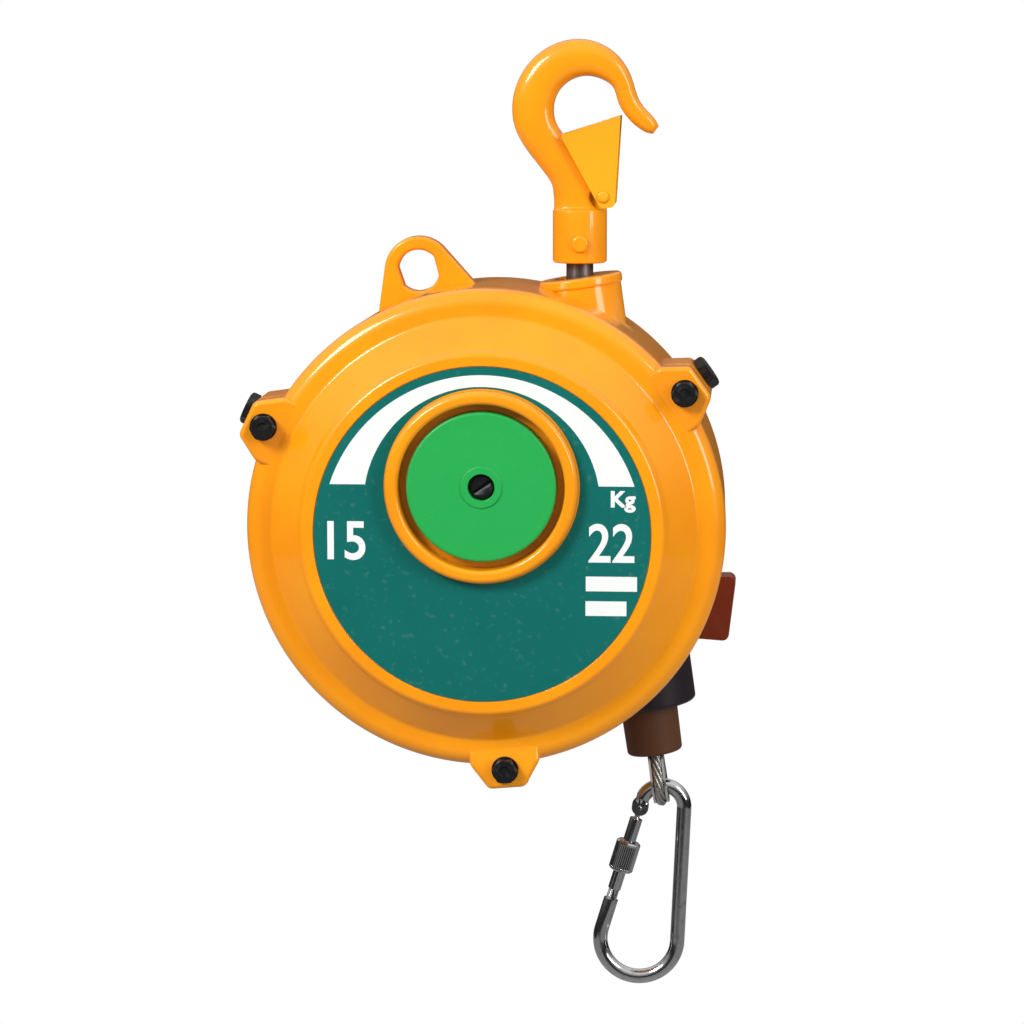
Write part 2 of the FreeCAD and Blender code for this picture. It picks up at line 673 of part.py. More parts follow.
def drum():
    """Tapered rope drum with a spiral groove, a locking rim and the arbor for the spring."""
    slope = rope_grow / rope_pitch
    sink = rope_r - groove_depth

    def cone(y):
        return rope_start_r + slope * y - sink

    front = front_flange_y + 2.4
    web_back = front + 6
    body = turned([
        (shaft_r + 1, case_front_y + 8), (arbor_r, case_front_y + 8), (arbor_r, case_back_y + 2),
        (drum_hub_r, case_back_y + 2, 1), (drum_hub_r + 1, front_flange_y, 1),
        (front_flange_r, front_flange_y, 1),
        (front_flange_r, front, 0.6), (cone(front), front), (cone(notch_y), notch_y),
        (rear_flange_r, notch_y, 0.6), (rear_flange_r, drum_back_y, 0.6),
        (cone(drum_back_y) - drum_wall, drum_back_y), (cone(web_back) - drum_wall, web_back, 2),
        (drum_hub_r, web_back, 2), (drum_hub_r, drum_back_y), (bearing_r, drum_back_y),
        (bearing_r, front_bearing_y), (shaft_r + 4, front_bearing_y), (shaft_r + 4, front_bearing_y - 1.5),
        (shaft_r + 1, front_bearing_y - 1.5)], drum_x, drum_z)
    groove = along_spine(groove_spine(-0.25, wound_turns), rope_r + groove_clear)
    body = body.cut(groove)
    for k in range(notch_count):
        a = nose_angle + 360.0 / notch_count * k
        outer = polar(rear_flange_r + 3, a, drum_x, drum_z)
        inner = polar(rear_flange_r - notch_depth, a, drum_x, drum_z)
        body = body.cut(strip(inner, outer, notch_half, notch_y - 0.01, drum_back_y + 1))
    clip_y = rear_bearing_y + bearing_width
    clip = bar(bearing_r + 1, drum_x, drum_z, clip_y, clip_y + 1.3)
    windows = []
    for k in range(6):
        windows.append(bar(7.5, *polar((drum_hub_r + cone(web_back) - drum_wall) / 2, 60 * k, drum_x, drum_z),
                           front_flange_y - 1, web_back + 1))
    run_off = along_rope(Part.makeCylinder(rope_r + fit, rope_start_r / 2))
    return body.cut(clip).cut(Part.makeCompound(windows)).cut(run_off).cut(anchor_button(rope_r + 1.1 + fit))


def cable_windings():
    return along_spine(groove_spine(0.0, wound_turns), rope_r)


def anchor_button(radius):
    edge = groove_spine(0.0, wound_turns).Edges[-1]
    end = edge.valueAt(edge.LastParameter)
    heading = edge.tangentAt(edge.LastParameter)
    return Part.makeCylinder(radius, 8, end, heading)


def cable_anchor():
    """Swaged button on the rope's inner end, seated in a pocket behind the last groove."""
    return anchor_button(rope_r + 1.1)


def outer_rings():
    rings = []
    for y in (front_bearing_y, rear_bearing_y):
        rings.append(turned([(bearing_r - 2.6, y), (bearing_r, y), (bearing_r, y + bearing_width),
                             (bearing_r - 2.6, y + bearing_width), (bearing_r - 2.6, y + bearing_width - 3),
                             (bearing_r - 1.6, y + bearing_width - 4), (bearing_r - 1.6, y + 4),
                             (bearing_r - 2.6, y + 3)], drum_x, drum_z))
    return Part.makeCompound(rings)


def inner_rings():
    rings = []
    for y in (front_bearing_y, rear_bearing_y):
        rings.append(turned([(shaft_r, y), (shaft_r + 2.6, y), (shaft_r + 2.6, y + 3), (shaft_r + 1.6, y + 4),
                             (shaft_r + 1.6, y + bearing_width - 4), (shaft_r + 2.6, y + bearing_width - 3),
                             (shaft_r + 2.6, y + bearing_width), (shaft_r, y + bearing_width)],
                            drum_x, drum_z))
    return Part.makeCompound(rings)


def bearing_balls():
    ball_radius = (bearing_r - shaft_r - 3.2) / 2 - fit
    balls = []
    for y in (front_bearing_y, rear_bearing_y):
        for k in range(7):
            x, z = polar((shaft_r + bearing_r) / 2, 360.0 / 7 * k, drum_x, drum_z)
            balls.append(Part.makeSphere(ball_radius, V(x, y + bearing_width / 2, z)))
    return Part.makeCompound(balls)


def bearing_spacer():
    return ring(shaft_r + 2.2, shaft_r, drum_x, drum_z, front_bearing_y + bearing_width, rear_bearing_y)


def hub_spacer():
    return ring(shaft_r + 2.2, shaft_r, drum_x, drum_z, rear_bearing_y + bearing_width, hub_face_y)


def drum_circlip():
    y = rear_bearing_y + bearing_width
    clip = ring(bearing_r + 1, bearing_r - 1.8, drum_x, drum_z, y, y + 1.2)
    return clip.cut(Part.makeBox(7, 4, 30, V(drum_x - 3.5, y - 1, drum_z)))


# ---- spring case, mainspring, worm --------------------------------------------------------------------
def wheel_blank(y, twist):
    """Closed outline of the worm wheel at one end of its teeth, turned a little with the worm's lead."""
    root_r = wheel_pitch_r - 1.2 * module
    tip_r = wheel_pitch_r + module
    pitch_half = (pi * module / 4 - backlash / 2) / wheel_pitch_r
    flank = tan(radians(20)) * module / wheel_pitch_r
    points = []
    for k in range(wheel_teeth):
        middle = 2 * pi * (k + 0.5) / wheel_teeth + 1.5 * pi + twist
        for radius, half in ((root_r, pitch_half + flank * 1.2), (tip_r, pitch_half - flank),
                             (tip_r, -pitch_half + flank), (root_r, -pitch_half - flank * 1.2)):
            a = middle - half
            points.append(V(drum_x + radius * cos(a), y, drum_z + radius * sin(a)))
    return Part.makePolygon(points + points[:1])


def spring_case():
    lead_angle = atan(module / (2 * worm_pitch_r))
    twist = wheel_width * tan(lead_angle) / wheel_pitch_r
    rim = Part.makeLoft([wheel_blank(wheel_y - wheel_width / 2, -twist / 2),
                         wheel_blank(wheel_y + wheel_width / 2, twist / 2)], True, True)
    cup = turned([
        (shaft_r + 4, case_front_y - 7.5), (shaft_r + 8, case_front_y - 7.5, 1),
        (shaft_r + 8, case_front_y, 1),
        (case_r, case_front_y, 3), (case_r, case_back_y), (case_r - case_wall, case_back_y),
        (case_r - case_wall, case_front_y + case_wall, 2), (shaft_r + 4, case_front_y + case_wall)],
        drum_x, drum_z)
    hollow = bar(case_r - case_wall / 2, drum_x, drum_z, wheel_y - wheel_width, wheel_y + wheel_width)
    case = cup.fuse(rim.cut(hollow))
    seats = [bar(1.5, *polar(case_r - case_wall / 2, 60 * k + 30, drum_x, drum_z), case_back_y - 8,
                 case_back_y + 1) for k in range(6)]
    return case.cut(Part.makeCompound(seats))


def spring_case_lid():
    lid = ring(case_r, arbor_r + 1, drum_x, drum_z, case_back_y, case_back_y + 1.6)
    holes = [bar(1.7, *polar(case_r - case_wall / 2, 60 * k + 30, drum_x, drum_z), case_back_y - 1,
                 case_back_y + 3) for k in range(6)]
    return lid.cut(Part.makeCompound(holes))


def lid_screws():
    screws = []
    for k in range(6):
        x, z = polar(case_r - case_wall / 2, 60 * k + 30, drum_x, drum_z)
        screws.append(fused([bar(1.5, x, z, case_back_y - 7, case_back_y + 2),
                             bar(1.9, x, z, case_back_y + 1.6, case_back_y + 2.8)]))
    return Part.makeCompound(screws)


def spring_case_bush():
    return ring(shaft_r + 4, shaft_r + fit, drum_x, drum_z, case_front_y - 7.5, case_front_y + case_wall)


def thrust_washer():
    return ring(shaft_r + 8, shaft_r, drum_x, drum_z, floor_y + floor_thick, case_front_y - 7.8)


def mainspring():
    """Flat spiral of steel strip, made of half turns whose centres change sides."""
    first = arbor_r + gap
    last = case_r - case_wall - spring_thick
    step = (last - first) / (2 * spring_coils)
    y = case_front_y + case_wall + spring_side_gap
    width = case_back_y - spring_side_gap - y
    sides = []
    for shift in (0.0, spring_thick):
        arcs = []
        for k in range(2 * spring_coils):
            radius = first + shift + step * k
            centre = V(drum_x + (0.0 if k % 2 == 0 else step), y, drum_z)
            sign = 1 if k % 2 == 0 else -1
            arcs.append(Part.Arc(centre + V(sign * radius, 0, 0), centre + V(0, 0, sign * radius),
                                 centre - V(sign * radius, 0, 0)).toShape())
        sides.append(arcs)
    inner, outer = sides
    start = Part.makeLine(inner[0].firstVertex(True).Point, outer[0].firstVertex(True).Point)
    end = Part.makeLine(inner[-1].lastVertex(True).Point, outer[-1].lastVertex(True).Point)
    face = Part.Face(Part.Wire(Part.__sortEdges__(inner + outer + [start, end])))
    strip_coil = face.extrude(V(0, width, 0))
    strip_coil.rotate(V(drum_x, 0, drum_z), Y_AXIS, spring_turn)
    return strip_coil


def worm():
    """Adjusting worm on its shaft; a hexagon socket in its left end takes the wrench."""
    tip = worm_pitch_r + module
    root = worm_pitch_r - 1.2 * module
    half = worm_lead / 4 - backlash / 2
    flank = tan(radians(20)) * module
    spine = Part.makeHelix(worm_lead, worm_lead * worm_turns, root - 0.2)
    tooth = Part.makePolygon([V(root - 0.2, 0, -half - flank * 1.2), V(tip, 0, flank - half),
                              V(tip, 0, half - flank), V(root - 0.2, 0, half + flank * 1.2),
                              V(root - 0.2, 0, -half - flank * 1.2)])
    thread = Part.Wire(spine.Edges).makePipeShell([Part.Wire(tooth)], True, True)
    # a crest stands at the middle of the worm, towards the wheel
    thread.rotate(V(0, 0, 0), V(0, 0, 1), 180 - 360 * (worm_turns / 2 % 1))
    body = Part.makeCylinder(root, 2 * worm_half + 2 * half + 2, V(0, 0, -half - 1)).fuse(thread)
    body.Placement = FreeCAD.Placement(V(body_x - worm_half, wheel_y, worm_z),
                                       FreeCAD.Rotation(V(0, 0, -1), V(0, 1, 0), V(1, 0, 0), "ZXY"))
    shaft = Part.makeCylinder(worm_shaft_r, worm_right - worm_left, V(worm_left, wheel_y, worm_z), V(1, 0, 0))
    socket = hexagon(5.0, 6.0, V(worm_left - 0.5, wheel_y, worm_z), V(1, 0, 0))
    return fused([body, shaft]).cut(socket)


def worm_bushes():
    left = V(worm_left + 2, wheel_y, worm_z)
    right = V(worm_right - worm_bush_length, wheel_y, worm_z)
    bushes = []
    for base in (left, right):
        outer = Part.makeCylinder(worm_bush_r, worm_bush_length, base, V(1, 0, 0))
        bushes.append(outer.cut(Part.makeCylinder(worm_shaft_r + fit, worm_bush_length, base, V(1, 0, 0))))
    return Part.makeCompound(bushes)


# ---- hook and hanger ----------------------------------------------------------------------------------
def hook_section(x, z, heading, width, thick):
    """Rounded section of the forged hook, square to its centre line."""
    across = V(-sin(radians(heading)), 0, cos(radians(heading)))
    points = []
    for k in range(16):
        a = 2 * pi * k / 16
        bulge = (abs(cos(a)) ** 2.5 + abs(sin(a)) ** 2.5) ** -0.4
        points.append(V(x, 0, z) + across * (width / 2 * bulge * cos(a))
                      + Y_AXIS * (thick / 2 * bulge * sin(a)))
    curve = Part.BSplineCurve()
    curve.interpolate(points, PeriodicFlag=True)
    return Part.Wire(curve.toShape())


def upper_hook():
    """Forged hook: shank, heel and bowl, thinning towards a tip that flares outwards."""
    shank_width = 2 * collar_r - 0.8
    sections = [hook_section(stem_x, collar_top - 1, 90, shank_width, hook_thick),
                hook_section(stem_x - 0.4, collar_top + 7, 93, shank_width - 0.6, hook_thick),
                hook_section(-8.2, -27.4, 122, 18.2, hook_thick)]
    for angle, width, thick in ((222, 17.2, hook_thick), (195, 18.0, 14.2), (165, 18.4, 14.6),
                                (128, 17.8, 14.4), (92, 16.0, 13.8), (62, 12.6, 12.4), (38, 9.4, 11.0)):
        radius = bowl_r + width / 2
        sections.append(hook_section(radius * cos(radians(angle)), radius * sin(radians(angle)), angle - 90,
                                     width, thick))
    for x, z, heading, width, thick in ((17.9, 4.6, -62, 8.9, 10.2), (22.6, -2.4, -45, 8.4, 9.6),
                                        (27.4, -6.6, -38, 7.2, 8.6), (30.2, -8.8, -38, 4.0, 5.0)):
        sections.append(hook_section(x, z, heading, width, thick))
    blade = Part.makeLoft(sections, True, False)
    throat = slab([(-7.8, -11.8), (9.8, -34.8), (30, -34.8), (30, -14), (-6, -11.8)], -20, 20)
    nose = bar(4.2, pivot_x, pivot_z, -rivet_boss_half, rivet_boss_half)
    pockets = [bar(5.8, pivot_x, pivot_z, rivet_boss_half, 20),
               bar(5.8, pivot_x, pivot_z, -20, -rivet_boss_half)]
    collar = Part.makeCylinder(collar_r, collar_top - collar_bottom, V(stem_x, 0, collar_bottom))
    collar = collar.makeChamfer(0.8, [e for e in collar.Edges if isinstance(e.Curve, Part.Circle)])
    blade = blade.cut(throat)
    for pocket in pockets:
        blade = blade.cut(pocket)
    hook = fused([blade, nose, collar])
    socket = Part.makeCylinder(stem_r, stem_thread_top - collar_bottom + 1, V(stem_x, 0, collar_bottom - 1))
    hook = hook.cut(socket)
    hook = hook.cut(bar(pin_r - 0.8, stem_x + 0.6, pin_z, -20, 20))
    return hook.cut(bar(rivet_r, pivot_x, pivot_z, -20, 20))


def hook_stem():
    stem = Part.makeCylinder(stem_r, stem_thread_top - stem_end, V(stem_x, 0, stem_end))
    stem = stem.makeChamfer(0.8, [e for e in stem.Edges if e.BoundBox.ZMax < stem_end + 0.1])
    stem = stem.cut(bar(pin_r - 0.8, stem_x + 0.6, pin_z, -20, 20))
    return stem.cut(bar(cotter_r, stem_x, nut_bottom - 1.8, -20, 20))


def hook_cross_pin():
    """Round pin that locks the stem in the collar, with a low head on the label side."""
    shank = bar(pin_r - 0.8, stem_x + 0.6, pin_z, -collar_r, collar_r + 0.5)
    head = turned([(0, -collar_r - 1.6), (pin_r, -collar_r - 1.6, 1.2), (pin_r, -collar_r + 0.9),
                   (0, -collar_r + 0.9)], stem_x + 0.6, pin_z)
    collar = Part.makeCylinder(collar_r, 20, V(stem_x, 0, pin_z - 10))
    return fused([shank, head.cut(collar)])


def hook_nut():
    nut = hexagon(nut_flats, nut_thick, V(stem_x, 0, nut_bottom), V(0, 0, 1))
    return nut.cut(Part.makeCylinder(stem_r, nut_thick + 2, V(stem_x, 0, nut_bottom - 1)))


def cotter_pin():
    length = 2 * stem_r + 3
    pin = bar(cotter_r - 0.05, stem_x, nut_bottom - 1.8, -length / 2, length / 2)
    head = Part.makeSphere(1.8, V(stem_x, -length / 2 - 0.8, nut_bottom - 1.85))
    return pin.fuse(head)


def ball_washer():
    ball = Part.makeSphere(ball_r, V(stem_x, 0, ball_z))
    keep = Part.makeCylinder(ball_r + 1, ball_r, V(stem_x, 0, washer_bottom))
    bore = Part.makeCylinder(stem_r + fit, 3 * ball_r, V(stem_x, 0, ball_z - ball_r))
    top = Part.makeCylinder(ball_r + 1, ball_r, V(stem_x, 0, ball_z + ball_r * 0.78))
    return ball.common(keep).cut(bore).cut(top)


def hook_latch():
    """Bent sheet latch: two side plates that straddle the hook, joined by a back behind the mouth."""
    corners = [(-11.6, -10.8, 1), (15.0, -2.2, 1), (12.6, pivot_z - 4.6, 2.5), (6.2, pivot_z - 5.1, 3.0)]
    sides = [slab(corners, y, y + latch_sheet) for y in (-latch_inner - latch_sheet, latch_inner)]
    back = slab([(15.0 - latch_sheet, -3.0), (15.0, -2.4), (12.75, -33.0), (12.75 - latch_sheet, -33.0)],
                -latch_inner - latch_sheet, latch_inner + latch_sheet)
    latch = fused(sides + [back])
    return latch.cut(bar(rivet_r + fit, pivot_x, pivot_z, -20, 20))


def latch_rivet():
    half = latch_inner + latch_sheet + 0.2
    shank = bar(rivet_r, pivot_x, pivot_z, -half - 0.5, half + 0.5)
    heads = [Part.makeCone(1.4 * rivet_r, rivet_r * 0.9, 1.1, V(pivot_x, side * half, pivot_z), V(0, side, 0))
             for side in (-1, 1)]
    return fused([shank] + heads)


def latch_spring():
    """Torsion coil round the rivet in the hook's front pocket, with a leg against the pocket's wall."""
    coil_r = rivet_r + spring_wire
    wire_radius = spring_wire / 2
    first_y = -rivet_boss_half - wire_radius - 0.1
    turns = []
    for k in range(3):
        centre = V(pivot_x - coil_r, first_y - spring_wire * 0.85 * k, pivot_z)
        turns.append(Part.Face(Part.Wire(Part.Circle(centre, V(0, 0, 1), wire_radius).toShape())))
    coil = fused(turns).revolve(V(pivot_x, 0, pivot_z), Y_AXIS, 360)
    leg = Part.makeCylinder(wire_radius, spring_leg, V(pivot_x - coil_r, first_y, pivot_z))
    return fused([coil, leg])


# ---- rope end -----------------------------------------------------------------------------------------
def cable_guide():
    """Black moulded bush in the casing: flared mouth inside, pocket for the stopper outside."""
    profile = [(guide_bore_r, guide_start + 6, 4), (guide_bore_r + 7, guide_start - 2.5),
               (guide_r + 2.5, guide_start - 2.5), (guide_r + 2.5, guide_start), (guide_r, guide_start),
               (guide_r, guide_end, 2.0), (stopper_r + 0.4, guide_end),
               (stopper_r + 0.4, stopper_start - gap), (guide_bore_r, stopper_start - gap)]
    wire = outline(profile, lambda r, s: V(r, 0, s))
    return along_rope(Part.Face(wire).revolve(V(0, 0, 0), V(0, 0, 1), 360))


def cable_stopper():
    """Rubber bumper on the rope; the ferrule sits in its hollow."""
    profile = [(rope_r + 0.1, stopper_start), (stopper_r, stopper_start, 1.2),
               (stopper_r - 0.5, stopper_end, 1.6), (eye_r, stopper_end), (eye_r, ferrule_start),
               (rope_r + 0.1, ferrule_start)]
    wire = outline(profile, lambda r, s: V(r, 0, s))
    return along_rope(Part.Face(wire).revolve(V(0, 0, 0), V(0, 0, 1), 360))


def eye_path():
    """Outline of the rope eye in the plane across the carabiner's wire."""
    points = [(-strand_half, ferrule_start + 0.5), (-strand_half, parallel_end, 12),
              (-eye_spread, eye_end, eye_r), (eye_spread, eye_end, eye_r), (strand_half, parallel_end, 12),
              (strand_half, ferrule_start + 0.5)]
    closed = outline(points, lambda a, s: V(0, a, s))
    first = V(0, -strand_half, ferrule_start + 0.5)
    last = V(0, strand_half, ferrule_start + 0.5)
    edges = [e for e in closed.Edges
             if not (min(v.Point.distanceToPoint(first) for v in e.Vertexes) < 1e-6
                     and min(v.Point.distanceToPoint(last) for v in e.Vertexes) < 1e-6)]
    return Part.Wire(Part.__sortEdges__(edges))


def cable_eye():
    path = eye_path()
    start = V(0, -strand_half, ferrule_start + 0.5)
    section = Part.Wire(Part.Circle(start, V(0, 0, 1), rope_r).toShape())
    return along_rope(path.makePipeShell([section], True, False))


def thimble():
    """Pressed channel between the rope eye and the carabiner, open outwards; its legs meet above."""
    inner = rope_r + 0.02
    outer = inner + thimble_wall
    rim = 0.9
    out = V(0, cos(strand_lean), -sin(strand_lean))
    up = V(0, -sin(strand_lean), -cos(strand_lean))
    centre = V(0, 0, eye_centre)

    def at(radius, width):
        return centre + out * radius + V(width, 0, 0)

    profile = [Part.Arc(at(eye_r, outer), at(eye_r - outer, 0), at(eye_r, -outer)).toShape(),
               Part.makeLine(at(eye_r, -outer), at(eye_r + rim, -outer)),
               Part.makeLine(at(eye_r + rim, -outer), at(eye_r + rim, -inner)),
               Part.makeLine(at(eye_r + rim, -inner), at(eye_r, -inner)),
               Part.Arc(at(eye_r, -inner), at(eye_r - inner, 0), at(eye_r, inner)).toShape(),
               Part.makeLine(at(eye_r, inner), at(eye_r + rim, inner)),
               Part.makeLine(at(eye_r + rim, inner), at(eye_r + rim, outer)),
               Part.makeLine(at(eye_r + rim, outer), at(eye_r, outer))]
    face = Part.Face(Part.Wire(profile))
    bend = face.revolve(centre, V(1, 0, 0), 180 + 2 * degrees(strand_lean))
    leg_length = (eye_r * cos(strand_lean) - outer - 0.2) / sin(strand_lean)
    leg = face.extrude(up * leg_length)
    return along_rope(fused([bend, leg, leg.mirror(V(0, 0, 0), V(0, 1, 0))]))


def cable_ferrule():
    """Pressed oval sleeve that holds the two strands of the eye."""
    half = rope_r + 1.3
    span = strand_half
    sleeve = [Part.makeCylinder(half, ferrule_length, V(0, side * span, ferrule_start + gap))
              for side in (-1, 1)]
    sleeve.append(Part.makeBox(2 * half, 2 * span, ferrule_length, V(-half, -span, ferrule_start + 0.3)))
    solid = fused(sleeve)
    for side in (-1, 1):
        solid = solid.cut(Part.makeCylinder(rope_r, ferrule_length + 2, V(0, side * span, ferrule_start - 1)))
    return along_rope(solid)


def cable_run():
    """Rope between the drum and the ferrule."""
    return along_rope(Part.makeCylinder(rope_r, ferrule_start - gap, V(0, 0, gap)))


# ---- carabiner ----------------------------------------------------------------------------------------
hang = V(0, 0, eye_end - rope_r - thimble_wall - 0.12 - wire_r)
hang_point = rope_frame.multVec(hang)
# the carabiner turns about the centre of its small arc until it hangs as it is seen
carabiner_turn = FreeCAD.Rotation(Y_AXIS, carabiner_lean)
carabiner_frame = FreeCAD.Placement(
    hang_point + rope_dir * small_arc_r - carabiner_turn.multVec(V(0, 0, -small_arc_r)), carabiner_turn)
taper = asin((big_arc_r - small_arc_r) / arc_distance)
small_centre = (0.0, -small_arc_r)
big_centre = (0.0, -small_arc_r - arc_distance)
left_tangent = ((-small_arc_r * cos(taper), small_centre[1] + small_arc_r * sin(taper)),
                (-big_arc_r * cos(taper), big_centre[1] + big_arc_r * sin(taper)))
right_tangent = ((small_arc_r * cos(taper), left_tangent[0][1]), (big_arc_r * cos(taper), left_tangent[1][1]))


def gate_point(t):
    """Point on the gate's line, t mm below its upper end."""
    (x0, z0), (x1, z1) = left_tangent
    length = hypot(x1 - x0, z1 - z0)
    return V(x0 + (x1 - x0) * t / length, 0, z0 + (z1 - z0) * t / length)


gate_hinge = 3.0
gate_end = 43.0
gate_line = (gate_point(1) - gate_point(0)).normalize()
sleeve_start = 20.0


def carabiner_body():
    """Bent round bar, open where the gate closes it, with a forked upper end and a stud below."""
    top = Part.Arc(gate_point(0), V(0, 0, 0), V(right_tangent[0][0], 0, right_tangent[0][1])).toShape()
    spine = Part.makeLine(V(right_tangent[0][0], 0, right_tangent[0][1]),
                          V(right_tangent[1][0], 0, right_tangent[1][1]))
    low = V(0, 0, big_centre[1] - big_arc_r)
    end = gate_point(hypot(left_tangent[1][0] - left_tangent[0][0], left_tangent[1][1] - left_tangent[0][1]))
    bottom = Part.Arc(V(right_tangent[1][0], 0, right_tangent[1][1]), low, end).toShape()
    stub = Part.makeLine(end, gate_point(gate_end + 5))
    section = Part.Wire(Part.Circle(gate_point(0), gate_line, wire_r).toShape())
    bent = Part.Wire([top, spine, bottom, stub]).makePipeShell([section], True, False)
    knuckle = bar(wire_r + 0.5, gate_point(gate_hinge).x, gate_point(gate_hinge).z, -wire_r, wire_r)
    slot = Part.makeBox(2 * wire_r + 8, 2.8, 14, V(-wire_r - 4, -1.4, -7))
    turn = FreeCAD.Placement(V(0, 0, 0), FreeCAD.Rotation(V(0, 0, -1), gate_line))
    slot.Placement = turn.multiply(slot.Placement)
    slot.translate(gate_point(gate_hinge + 2))
    stud = Part.makeCylinder(wire_r - 0.9, 4.8, gate_point(gate_end + 5.1), gate_line * -1)
    body = bent.fuse(knuckle).cut(slot).fuse(stud)
    body = body.cut(bar(gate_pin_r, gate_point(gate_hinge).x, gate_point(gate_hinge).z, -9, 9))
    body.Placement = carabiner_frame
    return body


def carabiner_gate():
    """Straight gate with a tongue in the body's fork and a socket over its stud."""
    tongue = bar(2.9, gate_point(gate_hinge).x, gate_point(gate_hinge).z, -1.2, 1.2)
    neck = Part.makeCylinder(1.2, gate_hinge + 6, gate_point(gate_hinge), gate_line)
    rod = Part.makeCylinder(gate_r, gate_end - gate_hinge - 6, gate_point(gate_hinge + 6), gate_line)
    gate = fused([tongue, neck, rod])
    gate = gate.cut(bar(gate_pin_r + fit, gate_point(gate_hinge).x, gate_point(gate_hinge).z, -9, 9))
    gate.Placement = carabiner_frame
    return gate


def gate_pin():
    pin = bar(gate_pin_r, gate_point(gate_hinge).x, gate_point(gate_hinge).z, -wire_r - 0.2, wire_r + 0.2)
    pin.Placement = carabiner_frame
    return pin


def screw_sleeve():
    """Knurled locking sleeve that screws down over the gate's joint."""
    base = gate_point(sleeve_start)
    sleeve = Part.makeCylinder(sleeve_r, sleeve_length, base, gate_line)
    sleeve = sleeve.makeChamfer(0.7, [e for e in sleeve.Edges if isinstance(e.Curve, Part.Circle)])
    sleeve = sleeve.cut(Part.makeCylinder(gate_r + 0.08, sleeve_length + 2, base - gate_line, gate_line))
    sleeve.Placement = carabiner_frame
    return sleeve


# ---- parts ------------------------------------------------------------------------------------------------
lever = lock_lever()
save("front_cover", front_cover())
save("rear_casing", rear_casing())
save("casing_gasket", casing_gasket())
save("cover_bolts", cover_bolts())
save("cover_washers", cover_washers())
save("lock_screws", lock_screws())
save("front_label", front_label())
save("end_cap", end_cap())
save("cap_screw", cap_screw())
save("drum_shaft", drum_shaft())
save("shaft_nut", shaft_nut())
save("rear_cap", rear_cap())
save("rear_cap_screws", rear_cap_screws())
save("lever_pin", lever_pin())
save("lever_circlip", lever_circlip())
save("lock_lever", lever)
save("lever_grip", lever_grip(lever))
save("drum", drum())
save("cable_windings", cable_windings())
save("cable_anchor", cable_anchor())
save("bearing_outer_rings", outer_rings())
save("bearing_inner_rings", inner_rings())
save("bearing_balls", bearing_balls())
save("bearing_spacer", bearing_spacer())
save("hub_spacer", hub_spacer())
save("drum_circlip", drum_circlip())
save("spring_case", spring_case())
save("spring_case_lid", spring_case_lid())
save("lid_screws", lid_screws())
save("spring_case_bush", spring_case_bush())
save("thrust_washer", thrust_washer())
save("mainspring", mainspring())
save("worm", worm())
save("worm_bushes", worm_bushes())
save("upper_hook", upper_hook())
save("hook_stem", hook_stem())
save("hook_cross_pin", hook_cross_pin())
save("hook_nut", hook_nut())
save("cotter_pin", cotter_pin())
save("ball_washer", ball_washer())
save("hook_latch", hook_latch())
save("latch_rivet", latch_rivet())
save("latch_spring", latch_spring())
save("cable_guide", cable_guide())
save("cable_stopper", cable_stopper())
save("cable_run", cable_run())
save("cable_eye", cable_eye())
save("cable_ferrule", cable_ferrule())
save("thimble", thimble())
save("carabiner_body", carabiner_body())
save("carabiner_gate", carabiner_gate())
save("gate_pin", gate_pin())
save("screw_sleeve", screw_sleeve())
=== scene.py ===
import json

import bmesh
import bpy
import numpy as np
from mathutils import Matrix, Vector


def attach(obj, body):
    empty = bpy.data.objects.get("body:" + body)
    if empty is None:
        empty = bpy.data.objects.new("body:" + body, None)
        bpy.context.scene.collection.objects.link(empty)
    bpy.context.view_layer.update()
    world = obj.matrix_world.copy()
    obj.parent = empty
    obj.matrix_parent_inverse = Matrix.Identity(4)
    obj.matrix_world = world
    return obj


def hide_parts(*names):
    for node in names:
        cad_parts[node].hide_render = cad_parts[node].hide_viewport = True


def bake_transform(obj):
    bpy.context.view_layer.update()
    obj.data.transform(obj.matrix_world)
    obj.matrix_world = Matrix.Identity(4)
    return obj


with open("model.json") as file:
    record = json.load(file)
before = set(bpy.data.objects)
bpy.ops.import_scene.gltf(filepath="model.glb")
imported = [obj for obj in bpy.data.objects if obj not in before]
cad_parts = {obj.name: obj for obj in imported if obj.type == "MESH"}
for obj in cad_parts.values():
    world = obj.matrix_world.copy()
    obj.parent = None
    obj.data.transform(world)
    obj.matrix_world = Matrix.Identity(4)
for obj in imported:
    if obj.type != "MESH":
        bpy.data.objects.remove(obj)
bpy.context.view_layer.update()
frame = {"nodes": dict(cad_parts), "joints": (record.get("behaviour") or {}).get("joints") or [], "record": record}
nodes = frame["nodes"]
record = frame["record"]
body_of_node = {node: body for body, names in record["behaviour"]["bodies"].items() for node in names}
slot_of_node = {row["node"]: row["material_slot"] for row in record["subparts"]}
joints = {joint["name"]: joint for joint in frame["joints"]}

# ---- rear casing --------------------------------------------------------------------------------------
# A deep aluminium casting with the hanger boss and the safety lug cast on, sprayed in gloss orange
# enamel after machining. It carries every other piece of the balancer, so it comes first.
MM = 0.001                           # in metres; lengths are in millimetres unless their name ends in _M
MERGE = 0.002                        # points nearer than this become one
BODY = (-41.4, -179.5)               # casing's centre in X and Z
SHELL_R = 104.4
DRAFT = 1.4                          # what the shell's radius loses between its split and its back
SPLIT_Y = -45.5
REAR_Y = 40.0
EAR_ANGLES = (35.0, 155.0, 275.0)
EAR_R = SHELL_R + 9.6
EAR_TIP_HALF = 8                     # half width and rounding at an ear's tip, then where it meets the rim
EAR_TIP_ROUND = 3.5
EAR_FOOT_HALF = 15.5
EAR_FOOT_ROUND = 6
EAR_FOOT_R = SHELL_R - 2
EAR_ROOT_R = 101                     # how far an ear reaches into the shell
EAR_DIP_START_R = SHELL_R - 1        # from here inwards a cover ear's front sinks into the flank
EAR_DIP_LENGTH = 9
EAR_BACK_Y = -16.0
